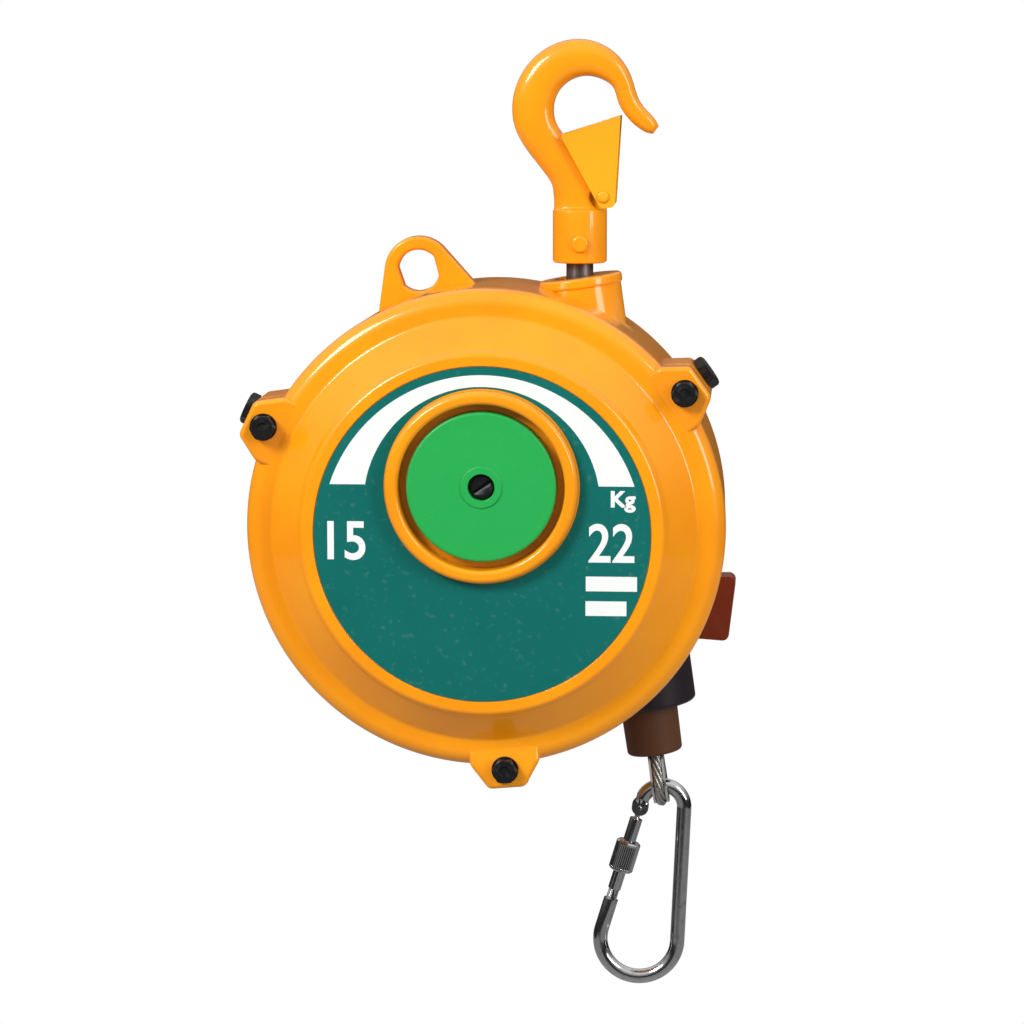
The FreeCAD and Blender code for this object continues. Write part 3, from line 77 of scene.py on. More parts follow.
EAR_BACK_ROUND = 2.0
EAR_SPLIT_CHAMFER = 0.5
BOLT_CIRCLE_R = SHELL_R + 1.1
BOLT_BORE_R = 3.1
LOCK_Y = -30.0
LOCK_BORE_R = 4.1
LOCK_BORE_INNER_R = 100.5
LUG_ANGLE = 106.8
LUG_OUT = SHELL_R + 9.3              # its bore's distance from the casing's centre
LUG_HOLE_R = 9.2
LUG_R = 15.1
LUG_WEB_HALF = 21.6
LUG_Y = (-10.0, 0.0)
LUG_FOOT = (101.0, 22.5)             # radius and half width where the lug's sides start
LUG_EDGE_ROUND = 1.6
LUG_HOLE_ROUND = 1.0
ORANGE = (0.97, 0.345, 0.004)
ORANGE_SHADE = (0.93, 0.298, 0.003)


class Field:
    """One output of a material's nodes, which Python's own operators work on."""

    def __init__(self, finish, socket):
        self.finish = finish
        self.socket = socket

    def calc(self, operation, first, second=0.0):
        return self.finish.add("ShaderNodeMath", {"operation": operation}, {0: first, 1: second})

    def __add__(self, other):
        return self.calc("ADD", self, other)

    def __radd__(self, other):
        return self.calc("ADD", other, self)

    def __sub__(self, other):
        return self.calc("SUBTRACT", self, other)

    def __rsub__(self, other):
        return self.calc("SUBTRACT", other, self)

    def __mul__(self, other):
        return self.calc("MULTIPLY", self, other)

    def __rmul__(self, other):
        return self.calc("MULTIPLY", other, self)

    def __truediv__(self, other):
        return self.calc("DIVIDE", self, other)

    def __rtruediv__(self, other):
        return self.calc("DIVIDE", other, self)

    def __pow__(self, other):
        return self.calc("POWER", self, other)

    def __lt__(self, other):
        return self.calc("LESS_THAN", self, other)

    def __gt__(self, other):
        return self.calc("GREATER_THAN", self, other)

    def math(self, operation, other=0.0):
        """Any other operation of the Math node, such as SINE, ABSOLUTE or MINIMUM."""
        return self.calc(operation, self, other)

    def ramp(self, low, high):
        """0 below low, 1 above high and an even climb between them."""
        return self.finish.add("ShaderNodeMapRange", {"clamp": True},
                               {"Value": self, "From Min": low, "From Max": high})


class Finish:
    """A material that is built up node by node round one Principled shader."""

    def __init__(self, name, **fixed):
        self.material = bpy.data.materials.new(name)
        self.material.use_nodes = True
        self.tree = self.material.node_tree
        self.shader = self.tree.nodes["Principled BSDF"]
        self.place = self.add("ShaderNodeTexCoord", output="Object")
        self.wear(**fixed)

    def wear(self, **sockets):
        """Sets or links the shader's sockets; an underscore in a name stands for a space."""
        for name, value in sockets.items():
            self.join(value, self.shader.inputs[name.replace("_", " ")])

    def join(self, value, socket):
        if isinstance(value, Field):
            self.tree.links.new(value.socket, socket)
        elif socket.type == "RGBA":
            socket.default_value = (*value, 1.0)
        else:
            socket.default_value = value

    def add(self, kind, settings=(), inputs=(), output=0):
        """Adds one node: its settings first, then the values or links of its sockets."""
        node = self.tree.nodes.new(kind)
        for name, value in dict(settings).items():
            setattr(node, name, value)
        for name, value in dict(inputs).items():
            self.join(value, node.inputs[name])
        return Field(self, node.outputs[output])

    def axes(self):
        """The place in millimetres along X, Y and Z."""
        return [self.add("ShaderNodeSeparateXYZ", {}, {0: self.place}, axis) / MM for axis in "XYZ"]

    def noise(self, grain_mm, detail=2.0, stretch=None):
        """Cloudy pattern whose blots are about grain_mm wide, drawn out where its stretch is low."""
        place = self.place
        if stretch:
            place = self.add("ShaderNodeMapping", {}, {"Vector": self.place, "Scale": stretch})
        return self.add("ShaderNodeTexNoise", {}, {"Vector": place, "Scale": 1 / (grain_mm * MM),
                                                   "Detail": detail})

    def mix(self, factor, first, second):
        """Colour that goes from the first to the second as the factor goes from 0 to 1."""
        node = self.tree.nodes.new("ShaderNodeMix")
        node.data_type = "RGBA"
        for value, socket in ((factor, node.inputs[0]), (first, node.inputs[6]), (second, node.inputs[7])):
            self.join(value, socket)
        return Field(self, node.outputs[2])

    def bump(self, height, depth_mm):
        """Surface direction over hills that are depth_mm high where the height field says 1."""
        return self.add("ShaderNodeBump", {}, {"Height": height, "Distance": depth_mm * MM})


def enamel(name, colour, shade, peel_mm=1.6, peel_depth_mm=0.02):
    """Sprayed gloss paint: a clear sheen over colour, with orange peel over the casting's softer waves."""
    paint = Finish(name, Coat_Roughness=0.05, IOR=1.5, Specular_IOR_Level=0.22)
    drift = paint.noise(grain_mm=38.0, detail=3.0)
    specks = paint.noise(grain_mm=0.55, detail=1.0).ramp(0.70, 0.80)
    colours = paint.mix(drift.ramp(0.35, 0.7), colour, shade)
    speck_colour = tuple(0.6 * c for c in shade)
    orange_peel = paint.noise(peel_mm) * 0.5
    casting_waves = paint.noise(grain_mm=9.0) * 2.2
    paint.wear(Base_Color=paint.mix(specks * 0.25, colours, speck_colour),
               Roughness=0.24 + drift * 0.10 + specks * 0.15,
               Coat_Weight=0.55 - specks * 0.3,
               Normal=paint.bump(orange_peel + casting_waves, peel_depth_mm))
    return paint.material


def grid_faces(rows, columns, wrap_rows):
    """Four-sided faces of a grid of points whose rows are closed rings; the last row may join the first."""
    down = np.arange(rows if wrap_rows else rows - 1)[:, None]
    along = np.arange(columns)[None, :]
    below = (down + 1) % rows
    right = (along + 1) % columns
    quads = np.stack(np.broadcast_arrays(down * columns + along, down * columns + right,
                                         below * columns + right, below * columns + along), -1)
    return quads.reshape(-1, 4)


class Skin:
    """Surfaces, each a grid of points in millimetres, gathered into one mesh."""

    def __init__(self):
        self.points = []
        self.faces = []
        self.count = 0

    def add(self, points, wrap_rows=False, caps=False):
        """Adds a grid whose rows are closed rings; caps shut its first and last ring."""
        rows, columns = points.shape[:2]
        self.faces += (self.count + grid_faces(rows, columns, wrap_rows)).tolist()
        if caps:
            ring = self.count + np.arange(columns)
            self.faces += [ring.tolist(), (ring + (rows - 1) * columns).tolist()]
        self.points.append(points.reshape(-1, 3))
        self.count += rows * columns

    def mesh(self, name):
        """All surfaces so far as one mesh in metres."""
        mesh = bpy.data.meshes.new(name)
        mesh.from_pydata((np.concatenate(self.points) * MM).tolist(), [], self.faces)
        return mesh


def finished(name, mesh, material, body, replaced, crease=32.0):
    """Turns a mesh into a piece: merged, facing outwards, smooth between its sharp edges, on its body."""
    work = bmesh.new()
    work.from_mesh(mesh)
    bmesh.ops.remove_doubles(work, verts=work.verts, dist=MERGE * MM)
    bmesh.ops.dissolve_degenerate(work, edges=work.edges, dist=0.0005 * MM)
    bmesh.ops.recalc_face_normals(work, faces=work.faces)
    work.to_mesh(mesh)
    work.free()
    mesh.shade_smooth()
    mesh.set_sharp_from_angle(angle=np.radians(crease))
    mesh.materials.clear()
    mesh.materials.append(material)
    piece = bpy.data.objects.new(name, mesh)
    bpy.context.scene.collection.objects.link(piece)
    even = piece.modifiers.new("flat_faces_stay_flat", "WEIGHTED_NORMAL")
    even.keep_sharp = True
    if body:
        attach(piece, body)
    if replaced:
        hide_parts(*replaced)
    return piece


def make_piece(name, skin, material, node, crease=32.0, replaces=True):
    """One piece from a Skin, which takes the place of a machined solid or is added to its body."""
    return finished(name, skin.mesh(name), material, body_of_node[node], (node,) if replaces else (),
                    crease)


def dress(name, node, material, crease=32.0):
    """A smooth copy of a machined solid whose shape already says everything, in its finish."""
    return finished(name, nodes[node].data.copy(), material, body_of_node[node], (node,),
                    crease)


def rounded(points, steps=7):
    """Outline through (a, b) points; a third number rounds that corner by an arc of its radius.

    The arc runs from start to end as M + (sin((1 - t) w) start + sin(t w) end) / sin w about its centre M.
    """
    line = []
    count = len(points)
    for i, point in enumerate(points):
        here = np.array(point[:2], float)
        if len(point) < 3:
            line.append(here[None])
            continue
        back = np.array(points[i - 1][:2]) - here
        ahead = np.array(points[(i + 1) % count][:2]) - here
        back /= np.linalg.norm(back)
        ahead /= np.linalg.norm(ahead)
        half = np.arccos(np.clip(back @ ahead, -1, 1)) / 2
        reach = point[2] / np.tan(half)
        centre = here + (back + ahead) / np.linalg.norm(back + ahead) * point[2] / np.sin(half)
        first = here + back * reach - centre
        last = here + ahead * reach - centre
        sweep = np.pi - 2 * half
        t = np.linspace(0, 1, max(3, int(np.ceil(np.degrees(sweep) / 90 * steps)) + 1))[:, None]
        line.append(centre + (first * np.sin((1 - t) * sweep) + last * np.sin(t * sweep)) / np.sin(sweep))
    line = np.concatenate(line)
    keep = np.r_[True, np.linalg.norm(np.diff(line, axis=0), axis=1) > 1e-5]
    return line[keep]


def inset(outline, distance):
    """Moves a closed outline inwards along its normals: P - d * n."""
    ahead = np.roll(outline, -1, 0) - outline
    behind = outline - np.roll(outline, 1, 0)
    along = ahead / np.linalg.norm(ahead, axis=1, keepdims=True)
    along += behind / np.linalg.norm(behind, axis=1, keepdims=True)
    along /= np.linalg.norm(along, axis=1, keepdims=True)
    return outline - distance * np.stack([along[:, 1], -along[:, 0]], -1)


def turned_out(a, b, y, degrees):
    """P = centre + a (cos d, sin d) + b (-sin d, cos d) in X and Z, from radial a and tangential b."""
    c, s = np.cos(np.radians(degrees)), np.sin(np.radians(degrees))
    return np.stack([BODY[0] + a * c - b * s, y + 0 * a, BODY[1] + a * s + b * c], -1)


def quarter(radius, y, towards, steps=6):
    """Levels (r (1 - sin t), y + towards r (1 - cos t)) of a rounded edge, from its flat to its side."""
    t = np.linspace(0, np.pi / 2, steps)
    return [(radius * (1 - np.sin(k)), y + towards * radius * (1 - np.cos(k))) for k in t]


def ear(degrees, levels, dip=0.0):
    """Bolt lug: its outline stacked over (inset, y, root radius) levels.

    Points move by dip s^2 (3 - 2 s) along Y, where s goes from 0 to 1 over the dip's length.
    """
    rings = []
    for depth, y, root in levels:
        outline = rounded([(root, -EAR_FOOT_HALF), (EAR_FOOT_R, -EAR_FOOT_HALF, EAR_FOOT_ROUND),
                           (EAR_R, -EAR_TIP_HALF, EAR_TIP_ROUND), (EAR_R, EAR_TIP_HALF, EAR_TIP_ROUND),
                           (EAR_FOOT_R, EAR_FOOT_HALF, EAR_FOOT_ROUND), (root, EAR_FOOT_HALF)])
        a, b = inset(outline, depth).T
        sink = np.clip((EAR_DIP_START_R - a) / EAR_DIP_LENGTH, 0, 1)
        rings.append(turned_out(a, b, y + dip * sink * sink * (3 - 2 * sink), degrees))
    return np.array(rings)


casing_enamel = enamel("orange_enamel_on_casting", ORANGE, ORANGE_SHADE)


def casting_without_lugs():
    """The machined casing's smooth shell alone; its ears and lug are cast with round edges below."""
    mesh = nodes["rear_casing"].data.copy()
    work = bmesh.new()
    work.from_mesh(mesh)
    bmesh.ops.remove_doubles(work, verts=work.verts, dist=MERGE * MM)
    work.to_mesh(mesh)
    middle = np.empty(len(mesh.polygons) * 3)
    mesh.polygons.foreach_get("center", middle)
    x, y, z = middle.reshape(-1, 3).T / MM
    x, z = x - BODY[0], z - BODY[1]
    # margins over the shell's skin, past the lugs' flat ends and past an ear's sides
    over, past, beside = 0.03, 0.02, 0.1
    outside = np.hypot(x, z) > SHELL_R - DRAFT * (y - SPLIT_Y) / (REAR_Y - SPLIT_Y) + over
    gone = np.zeros(len(x), bool)
    for degrees in EAR_ANGLES + (LUG_ANGLE,):
        c, s = np.cos(np.radians(degrees)), np.sin(np.radians(degrees))
        a, b = x * c + z * s, z * c - x * s
        if degrees == LUG_ANGLE:
            near = (a > 0) & (np.abs(b) < LUG_WEB_HALF) & (y > LUG_Y[0] - past) & (y < LUG_Y[1] + past)
            gone |= near & outside
        else:
            near = (a > 0) & (np.abs(b) < EAR_FOOT_HALF + beside) & (y < EAR_BACK_Y + past)
            bolt_bore = np.hypot(a - BOLT_CIRCLE_R, b) < BOLT_BORE_R
            lock_bore = (np.hypot(y - LOCK_Y, b) < LOCK_BORE_R) & (a > LOCK_BORE_INNER_R)
            gone |= near & (outside | bolt_bore | lock_bore)
    work.faces.ensure_lookup_table()
    bmesh.ops.delete(work, geom=[work.faces[i] for i in np.flatnonzero(gone)], context="FACES")
    bmesh.ops.holes_fill(work, edges=[edge for edge in work.edges if edge.is_boundary], sides=0)
    work.to_mesh(mesh)
    work.free()
    return mesh


finished("casing_casting", casting_without_lugs(), casing_enamel, "housing", ("rear_casing",),
         crease=28.0)
lugs = Skin()
ear_levels = ([(EAR_SPLIT_CHAMFER, SPLIT_Y, EAR_ROOT_R), (0, SPLIT_Y + EAR_SPLIT_CHAMFER, EAR_ROOT_R)]
              + [(depth, y, EAR_ROOT_R) for depth, y in quarter(EAR_BACK_ROUND, EAR_BACK_Y, -1)[::-1]])
for angle in EAR_ANGLES:
    lugs.add(ear(angle, ear_levels), caps=True)
# the lug's straight sides run from its foot and touch its round head at the angle named touch
foot = np.array([LUG_OUT - LUG_FOOT[0], LUG_FOOT[1]])
side_turn = np.arctan2(foot[1], foot[0]) - np.arcsin(LUG_R / np.hypot(*foot))
touch = np.pi / 2 - side_turn
t = np.linspace(-touch, touch, 41)
lug_line = np.concatenate([
    np.linspace((LUG_FOOT[0], 0), (LUG_FOOT[0], -LUG_FOOT[1]), 6),
    np.stack([LUG_OUT + LUG_R * np.cos(t), LUG_R * np.sin(t)], -1),
    np.linspace((LUG_FOOT[0], LUG_FOOT[1]), (LUG_FOOT[0], 0), 6)[:-1]])
bearing = np.arctan2(lug_line[:, 1], lug_line[:, 0] - LUG_OUT)
hole_rings, rim_rings = [], []
for depth, y in quarter(LUG_EDGE_ROUND, LUG_Y[0], 1) + quarter(LUG_EDGE_ROUND, LUG_Y[1], -1)[::-1]:
    a, b = inset(lug_line, depth).T
    rim_rings.append(turned_out(a, b, y, LUG_ANGLE))
    hole_r = LUG_HOLE_R + min(depth, LUG_HOLE_ROUND)
    hole_rings.append(turned_out(LUG_OUT + hole_r * np.cos(bearing), hole_r * np.sin(bearing), y, LUG_ANGLE))
lugs.add(np.array(rim_rings + hole_rings[::-1]), wrap_rows=True)
make_piece("casing_lugs", lugs, casing_enamel, "rear_casing", crease=28.0, replaces=False)

# ---- gasket -------------------------------------------------------------------------------------------
# Dark fibre sheet, stamped to the outline of the casing's rim with a tab under each ear. The bolts
# squeeze it between the cover and the casing.


def moulded(name, colour, rough, grain_mm=0.9, depth_mm=0.02, blotch=0.12):
    """Plastic, rubber or fibre: one colour with faint clouds and the fine grain of its mould."""
    stuff = Finish(name, IOR=1.48, Specular_IOR_Level=0.3)
    cloud = stuff.noise(grain_mm=14.0, detail=3.0)
    dust = stuff.noise(grain_mm=2.2, detail=3.0).ramp(0.58, 0.75)
    pale = tuple(min(1.0, c * 1.35 + 0.012) for c in colour)
    stuff.wear(Base_Color=stuff.mix(cloud * blotch + dust * 0.18, colour, pale),
               Roughness=rough - 0.05 + cloud * 0.1 + dust * 0.12,
               Normal=stuff.bump(stuff.noise(grain_mm), depth_mm))
    return stuff.material


gasket_fibre = moulded("fibre_sheet", (0.045, 0.045, 0.045), rough=0.8, grain_mm=0.5, depth_mm=0.05)
dress("gasket_sheet", "casing_gasket", gasket_fibre)

# ---- front cover --------------------------------------------------------------------------------------
# The dished aluminium cover: a flat face with a low rim round the label, a sloped flank, and a raised
# ring round the shaft's end. Cast, turned on its seat and sprayed with the casing.
SHAFT = (BODY[0], BODY[1] + 21.0)    # drum shaft in X and Z
WALL = 4.5
ROUND_STEPS = 240                    # points round the cover's and the label's circles
FACE_Y = -72.0
RIM_Y = FACE_Y - 0.8                 # the low rim round the label
RING_Y = -78
SHOULDER_Y = -58.0
COVER_BACK_Y = -46.5
LABEL_R = 72.6
RING_OUT_R = 41.2
RING_IN_R = 35.8
RECESS_Y = -66.5                     # the floor inside the raised ring
RECESS_BORE_R = 10
EAR_FRONT_Y = -60.0
EAR_FRONT_ROUND = 2.2
EAR_STEP_Y = -54.5                   # in front of it an ear reaches in over the flank, behind it to the wall
COVER_EAR_ROOT_R = 91


def lathe(profile, centre):
    """P(i, t) = (x0 + r_i cos t, y_i, z0 + r_i sin t) for a profile of (r, y) points."""
    t = np.linspace(0, 2 * np.pi, ROUND_STEPS, endpoint=False)[None]
    r, y = profile[:, :1], profile[:, 1:]
    return np.stack([centre[0] + r * np.cos(t), y + 0 * t, centre[1] + r * np.sin(t)], -1)


def on_casing(radius, degrees):
    """X and Z of a point at a radius and an angle about the casing's centre."""
    return BODY[0] + radius * np.cos(np.radians(degrees)), BODY[1] + radius * np.sin(np.radians(degrees))


# outlines of (radius, y, rounding): the ring and the recess inside it, the dish, and back under the ring
cover_ring = [(RECESS_BORE_R, RECESS_Y), (RING_IN_R, RECESS_Y), (RING_IN_R, RING_Y, 2),
              (RING_OUT_R, RING_Y, 2.4), (RING_OUT_R + 0.6, FACE_Y, 1.2), (RING_OUT_R + 3, FACE_Y)]
cover_dish = [(LABEL_R - 3, FACE_Y), (LABEL_R + 0.3, FACE_Y), (LABEL_R + 0.3, RIM_Y, 0.3), (78, RIM_Y, 2.5),
              (80, FACE_Y + 2.5, 2), (92.5, SHOULDER_Y, 3), (SHELL_R, SHOULDER_Y, 7),
              (SHELL_R, COVER_BACK_Y), (SHELL_R - WALL, COVER_BACK_Y), (SHELL_R - WALL, SHOULDER_Y + WALL, 3),
              (90, SHOULDER_Y + WALL, 2), (76, FACE_Y + WALL, 2), (74, FACE_Y + WALL)]
cover_back = [(RING_OUT_R, FACE_Y + WALL), (RING_OUT_R - 2, RECESS_Y + 5), (RECESS_BORE_R, RECESS_Y + 5)]
cover = Skin()
cover.add(np.concatenate([lathe(rounded(cover_ring), SHAFT), lathe(rounded(cover_dish), BODY),
                          lathe(rounded(cover_back), SHAFT)]), wrap_rows=True)
ear_levels = ([(depth, y, COVER_EAR_ROOT_R) for depth, y in quarter(EAR_FRONT_ROUND, EAR_FRONT_Y, 1)]
              + [(0, EAR_STEP_Y - 0.1, COVER_EAR_ROOT_R), (0, EAR_STEP_Y, EAR_ROOT_R),
                 (0, COVER_BACK_Y - EAR_SPLIT_CHAMFER, EAR_ROOT_R),
                 (EAR_SPLIT_CHAMFER, COVER_BACK_Y, EAR_ROOT_R)])
for angle in EAR_ANGLES:
    cover.add(ear(angle, ear_levels, dip=3.2), caps=True)
make_piece("cover_casting", cover, casing_enamel, "front_cover", crease=28.0)

# ---- cover bolts, washers and lock screws -------------------------------------------------------------
# Blacked hexagon bolts with a dimpled, chamfered head clamp the cover. Three larger ones without a
# dimple, the lock screws, are screwed in radially through the ears.
LOCK_DIMPLE = 0.0501                 # so narrow that the head looks flat
blacking = Finish("black_oxide", Metallic=0.55, IOR=1.5)
dirt = blacking.noise(grain_mm=3.0, detail=4.0)
blacking.wear(Base_Color=blacking.mix(dirt.ramp(0.55, 0.8), (0.012, 0.012, 0.014), (0.06, 0.055, 0.05)),
              Roughness=0.34 + dirt * 0.2, Normal=blacking.bump(blacking.noise(0.7), 0.02))
black_oxide = blacking.material


def hexagon_bolt(base, axis, across, flats, head, shank_r, shank, dimple=0.24):
    """Rings of r(t) = min(f / (2 cos(t mod 60 - 30)), limit) at heights above the head's seat.

    f is the width across the head's flat sides, and the dimple's radius is a share of it.
    """
    axis, across = np.array(axis, float), np.array(across, float)
    side = np.cross(axis, across)
    t = np.linspace(0, 2 * np.pi, 96, endpoint=False)
    hexagon = flats / 2 / np.cos(t % (np.pi / 3) - np.pi / 6)
    levels = [(0, -shank), (shank_r - 0.6, -shank), (shank_r, -shank + 0.6), (shank_r, 0), (flats * 0.46, 0),
              (flats * 0.6, 0.25), (flats * 0.6, head * 0.72), (flats * 0.545, head * 0.9),
              (flats * 0.47, head), (flats * dimple, head), (flats * (dimple - 0.05), head - 0.7),
              (0, head - 0.8)]
    rings = [np.array(base) + axis * h + np.minimum(hexagon, limit)[:, None]
             * (np.cos(t)[:, None] * across + np.sin(t)[:, None] * side) for limit, h in levels]
    return np.array(rings)


WASHER = 1.2
bolts = Skin()
locks = Skin()
for angle in EAR_ANGLES:
    x, z = on_casing(BOLT_CIRCLE_R, angle)
    bolts.add(hexagon_bolt((x, EAR_FRONT_Y - WASHER, z), (0, -1, 0), (1, 0, 0),
                           flats=10.0, head=4.0, shank_r=3.0, shank=25.2))
    x, z = on_casing(EAR_R, angle)
    c, s = np.cos(np.radians(angle)), np.sin(np.radians(angle))
    locks.add(hexagon_bolt((x, LOCK_Y, z), (c, 0, s), (s, 0, -c),
                           flats=12.8, head=4.6, shank_r=4.0, shank=12.4, dimple=LOCK_DIMPLE))
make_piece("cover_hexagon_bolts", bolts, black_oxide, "cover_bolts", crease=25.0)
make_piece("lock_hexagon_screws", locks, black_oxide, "lock_screws", crease=25.0)
dress("plain_washers", "cover_washers", black_oxide)

# ---- label --------------------------------------------------------------------------------------------
# Thin plastic disc let into the cover's face round the raised ring. It is printed teal, with a white
# crescent that is thinnest at its top, two blank white fields and the load range's ends in kilograms.
LABEL_Y = FACE_Y - 0.4
CRESCENT_R = 69.0
CRESCENT_HOLLOW_R = 50.9
CRESCENT_HOLLOW_UP = 13.1            # how far the hollow's centre lies above the casing's
CRESCENT_END_UP = 21.6
FIELDS = ((55.8, -20.6, 11.0), (53.5, -31.3, 8.8))  # right and up from the casing's centre, half width
FIELD_HALF_HEIGHT = 3.2
PRINT_WHITE = (0.86, 0.87, 0.85)
label = Finish("printed_vinyl", IOR=1.46, Specular_IOR_Level=0.25, Coat_Weight=0.12, Coat_Roughness=0.2)
x, _, z = label.axes()
u, w = x - BODY[0], z - BODY[1]
radius = (u * u + w * w) ** 0.5
hollow_radius = (u * u + (w - CRESCENT_HOLLOW_UP) ** 2) ** 0.5
white = (radius < CRESCENT_R) * (hollow_radius > CRESCENT_HOLLOW_R) * (w > CRESCENT_END_UP)
for across, up, half_width in FIELDS:
    white += ((u - across).math("ABSOLUTE") < half_width) * ((w - up).math("ABSOLUTE") < FIELD_HALF_HEIGHT)
fade = label.noise(grain_mm=22.0, detail=3.0)
scuff = label.noise(grain_mm=3.0, detail=4.0).ramp(0.60, 0.75)
teal = label.mix(fade, (0.001, 0.126, 0.106), (0.002, 0.150, 0.130))
print_colour = label.mix(white, teal, PRINT_WHITE)
label.wear(Base_Color=label.mix(scuff * 0.10, print_colour, (0.35, 0.42, 0.40)),
           Roughness=0.33 + fade * 0.12 + scuff * 0.15,
           Normal=label.bump(label.noise(1.1), 0.006))
disc = Skin()
disc.add(np.concatenate([
    lathe(rounded([(RING_OUT_R + 1.0, FACE_Y), (RING_OUT_R + 1.0, LABEL_Y)]), SHAFT),
    lathe(rounded([(LABEL_R, LABEL_Y), (LABEL_R, FACE_Y)]), BODY)]), wrap_rows=True)
make_piece("label_disc", disc, label.material, "front_label")

ink = Finish("white_ink", Base_Color=PRINT_WHITE, IOR=1.46)
ink.wear(Roughness=0.35 + ink.noise(4.0) * 0.15, Normal=ink.bump(ink.noise(1.0), 0.004))
FONT_SIZE_TO_HEIGHT = 1.37           # the font's size over the height of its capitals
INK_HALF = 0.015


def lettering(name, text, height, left, bottom, narrow, heavy):
    """The font's outlines as flat ink on the label; left and bottom are measured from the casing's centre."""
    curve = bpy.data.curves.new(name, "FONT")
    curve.body = text
    curve.size = height * MM * FONT_SIZE_TO_HEIGHT
    curve.extrude = INK_HALF * MM
    curve.offset = heavy * MM
    curve.resolution_u = 6
    shape = bpy.data.objects.new(name + "_outline", curve)
    bpy.context.scene.collection.objects.link(shape)
    bpy.context.view_layer.update()
    mesh = bpy.data.meshes.new_from_object(shape.evaluated_get(bpy.context.evaluated_depsgraph_get()))
    bpy.data.objects.remove(shape)
    bpy.data.curves.remove(curve)
    points = np.empty(len(mesh.vertices) * 3)
    mesh.vertices.foreach_get("co", points)
    points = points.reshape(-1, 3)
    points = (points - points.min(0)) * (narrow, 1, 1)
    placed = np.stack([points[:, 0] + (BODY[0] + left) * MM, LABEL_Y * MM - points[:, 2],
                       points[:, 1] + (BODY[1] + bottom) * MM], -1)
    mesh.vertices.foreach_set("co", placed.ravel())
    finished(name, mesh, ink.material, body_of_node["front_label"], ())


lettering("low_load_figure", "15", 17.0, -66.6, -11.3, narrow=0.92, heavy=0.38)
lettering("high_load_figure", "22", 17.0, 45.9, -11.3, narrow=0.88, heavy=0.36)
lettering("unit_letters", "Kg", 6.9, 55.4, 10.4, narrow=1.05, heavy=0.35)

# ---- shaft's end cap ----------------------------------------------------------------------------------
# Green moulded plastic cap with a raised hub, over the shaft's front end. One blacked slotted screw in
# the shaft holds it.
cap_green = moulded("green_plastic", (0.018, 0.385, 0.078), rough=0.34, grain_mm=0.8, depth_mm=0.012,
                    blotch=0.10)
dress("green_cap", "end_cap", cap_green)
dress("slotted_screw", "cap_screw", black_oxide)

# ---- top hook and its latch ---------------------------------------------------------------------------
# Drop-forged steel hook, painted in the casing's orange. Its latch is bent from sheet, put over the hook
# and riveted, and painted with its rivet. A small torsion spring keeps the mouth shut.
hook_enamel = enamel("orange_enamel_on_forging", ORANGE, ORANGE_SHADE, peel_mm=2.2, peel_depth_mm=0.035)
latch_enamel = enamel("orange_yellow_enamel_on_sheet", (0.93, 0.42, 0.012), (0.86, 0.37, 0.010),
                      peel_mm=1.2, peel_depth_mm=0.015)
dress("forged_hook", "upper_hook", hook_enamel, crease=38.0)
dress("hook_lock_pin", "hook_cross_pin", hook_enamel)
dress("sheet_latch", "hook_latch", latch_enamel)


def bare_metal(name, colour, rough, stretch=None, grain_mm=2.5, soil=(0.10, 0.09, 0.08), soiled=0.35):
    """Bare or plated metal: brushed or turned streaks, a cloudy sheen and a little grime."""
    metal = Finish(name, Metallic=1.0)
    streak = metal.noise(grain_mm, detail=3.0, stretch=stretch)
    cloud = metal.noise(grain_mm=11.0, detail=3.0)
    grime = metal.noise(grain_mm=3.4, detail=5.0).ramp(0.56, 0.80)
    clean = metal.mix(cloud * 0.4, colour, tuple(0.8 * c for c in colour))
    metal.wear(Base_Color=metal.mix(grime * soiled, clean, soil),
               Roughness=rough + streak * 0.10 + grime * 0.20,
               Normal=metal.bump(streak, 0.010))
    return metal.material


zinc = bare_metal("bright_zinc", (0.70, 0.70, 0.68), rough=0.22)
spring_steel = bare_metal("blued_spring_steel", (0.20, 0.21, 0.25), rough=0.35)
bearing_steel = bare_metal("ground_steel", (0.58, 0.58, 0.60), rough=0.16, grain_mm=0.6)
dress("latch_rivet_pin", "latch_rivet", latch_enamel)
dress("latch_coil_spring", "latch_spring", spring_steel)

# ---- hanger -------------------------------------------------------------------------------------------
# The hook's stem passes a ball washer in the casing's top boss and carries a nut with a split pin, so
# the balancer swivels and leans towards its load. Greased stem, zinc-plated nut and pin, hardened washer.
greased_steel = bare_metal("greased_steel", (0.16, 0.155, 0.15), rough=0.38, grain_mm=1.5,
                           soil=(0.03, 0.028, 0.025), soiled=0.8)
dress("plated_stem", "hook_stem", greased_steel)
dress("stem_nut", "hook_nut", zinc)
dress("split_pin", "cotter_pin", zinc)
dress("hardened_ball_washer", "ball_washer", bearing_steel)

# ---- drum, spring and worm gear -----------------------------------------------------------------------
# What the closed casing holds: the turned aluminium drum with its wound rope and bearings, the spring
# case with its cut worm wheel and blued strip, the worm, and the bronze bushes. They keep the machined
# solids' own meshes, so every solid gets the finish of its slot here.
drum_alloy = bare_metal("turned_aluminium", (0.78, 0.78, 0.79), rough=0.30, stretch=(1, 9, 1), grain_mm=3.0,
                        soil=(0.25, 0.24, 0.23), soiled=0.25)
case_iron = bare_metal("grey_iron", (0.22, 0.22, 0.23), rough=0.50, grain_mm=1.2,
                       soil=(0.09, 0.06, 0.04), soiled=0.4)
bronze = bare_metal("bearing_bronze", (0.62, 0.40, 0.17), rough=0.30, grain_mm=1.5,
                    soil=(0.15, 0.09, 0.04), soiled=0.3)
rope_steel = bare_metal("galvanised_rope_wire", (0.47, 0.45, 0.42), rough=0.33, grain_mm=0.8,
                        soil=(0.09, 0.075, 0.06), soiled=0.6)
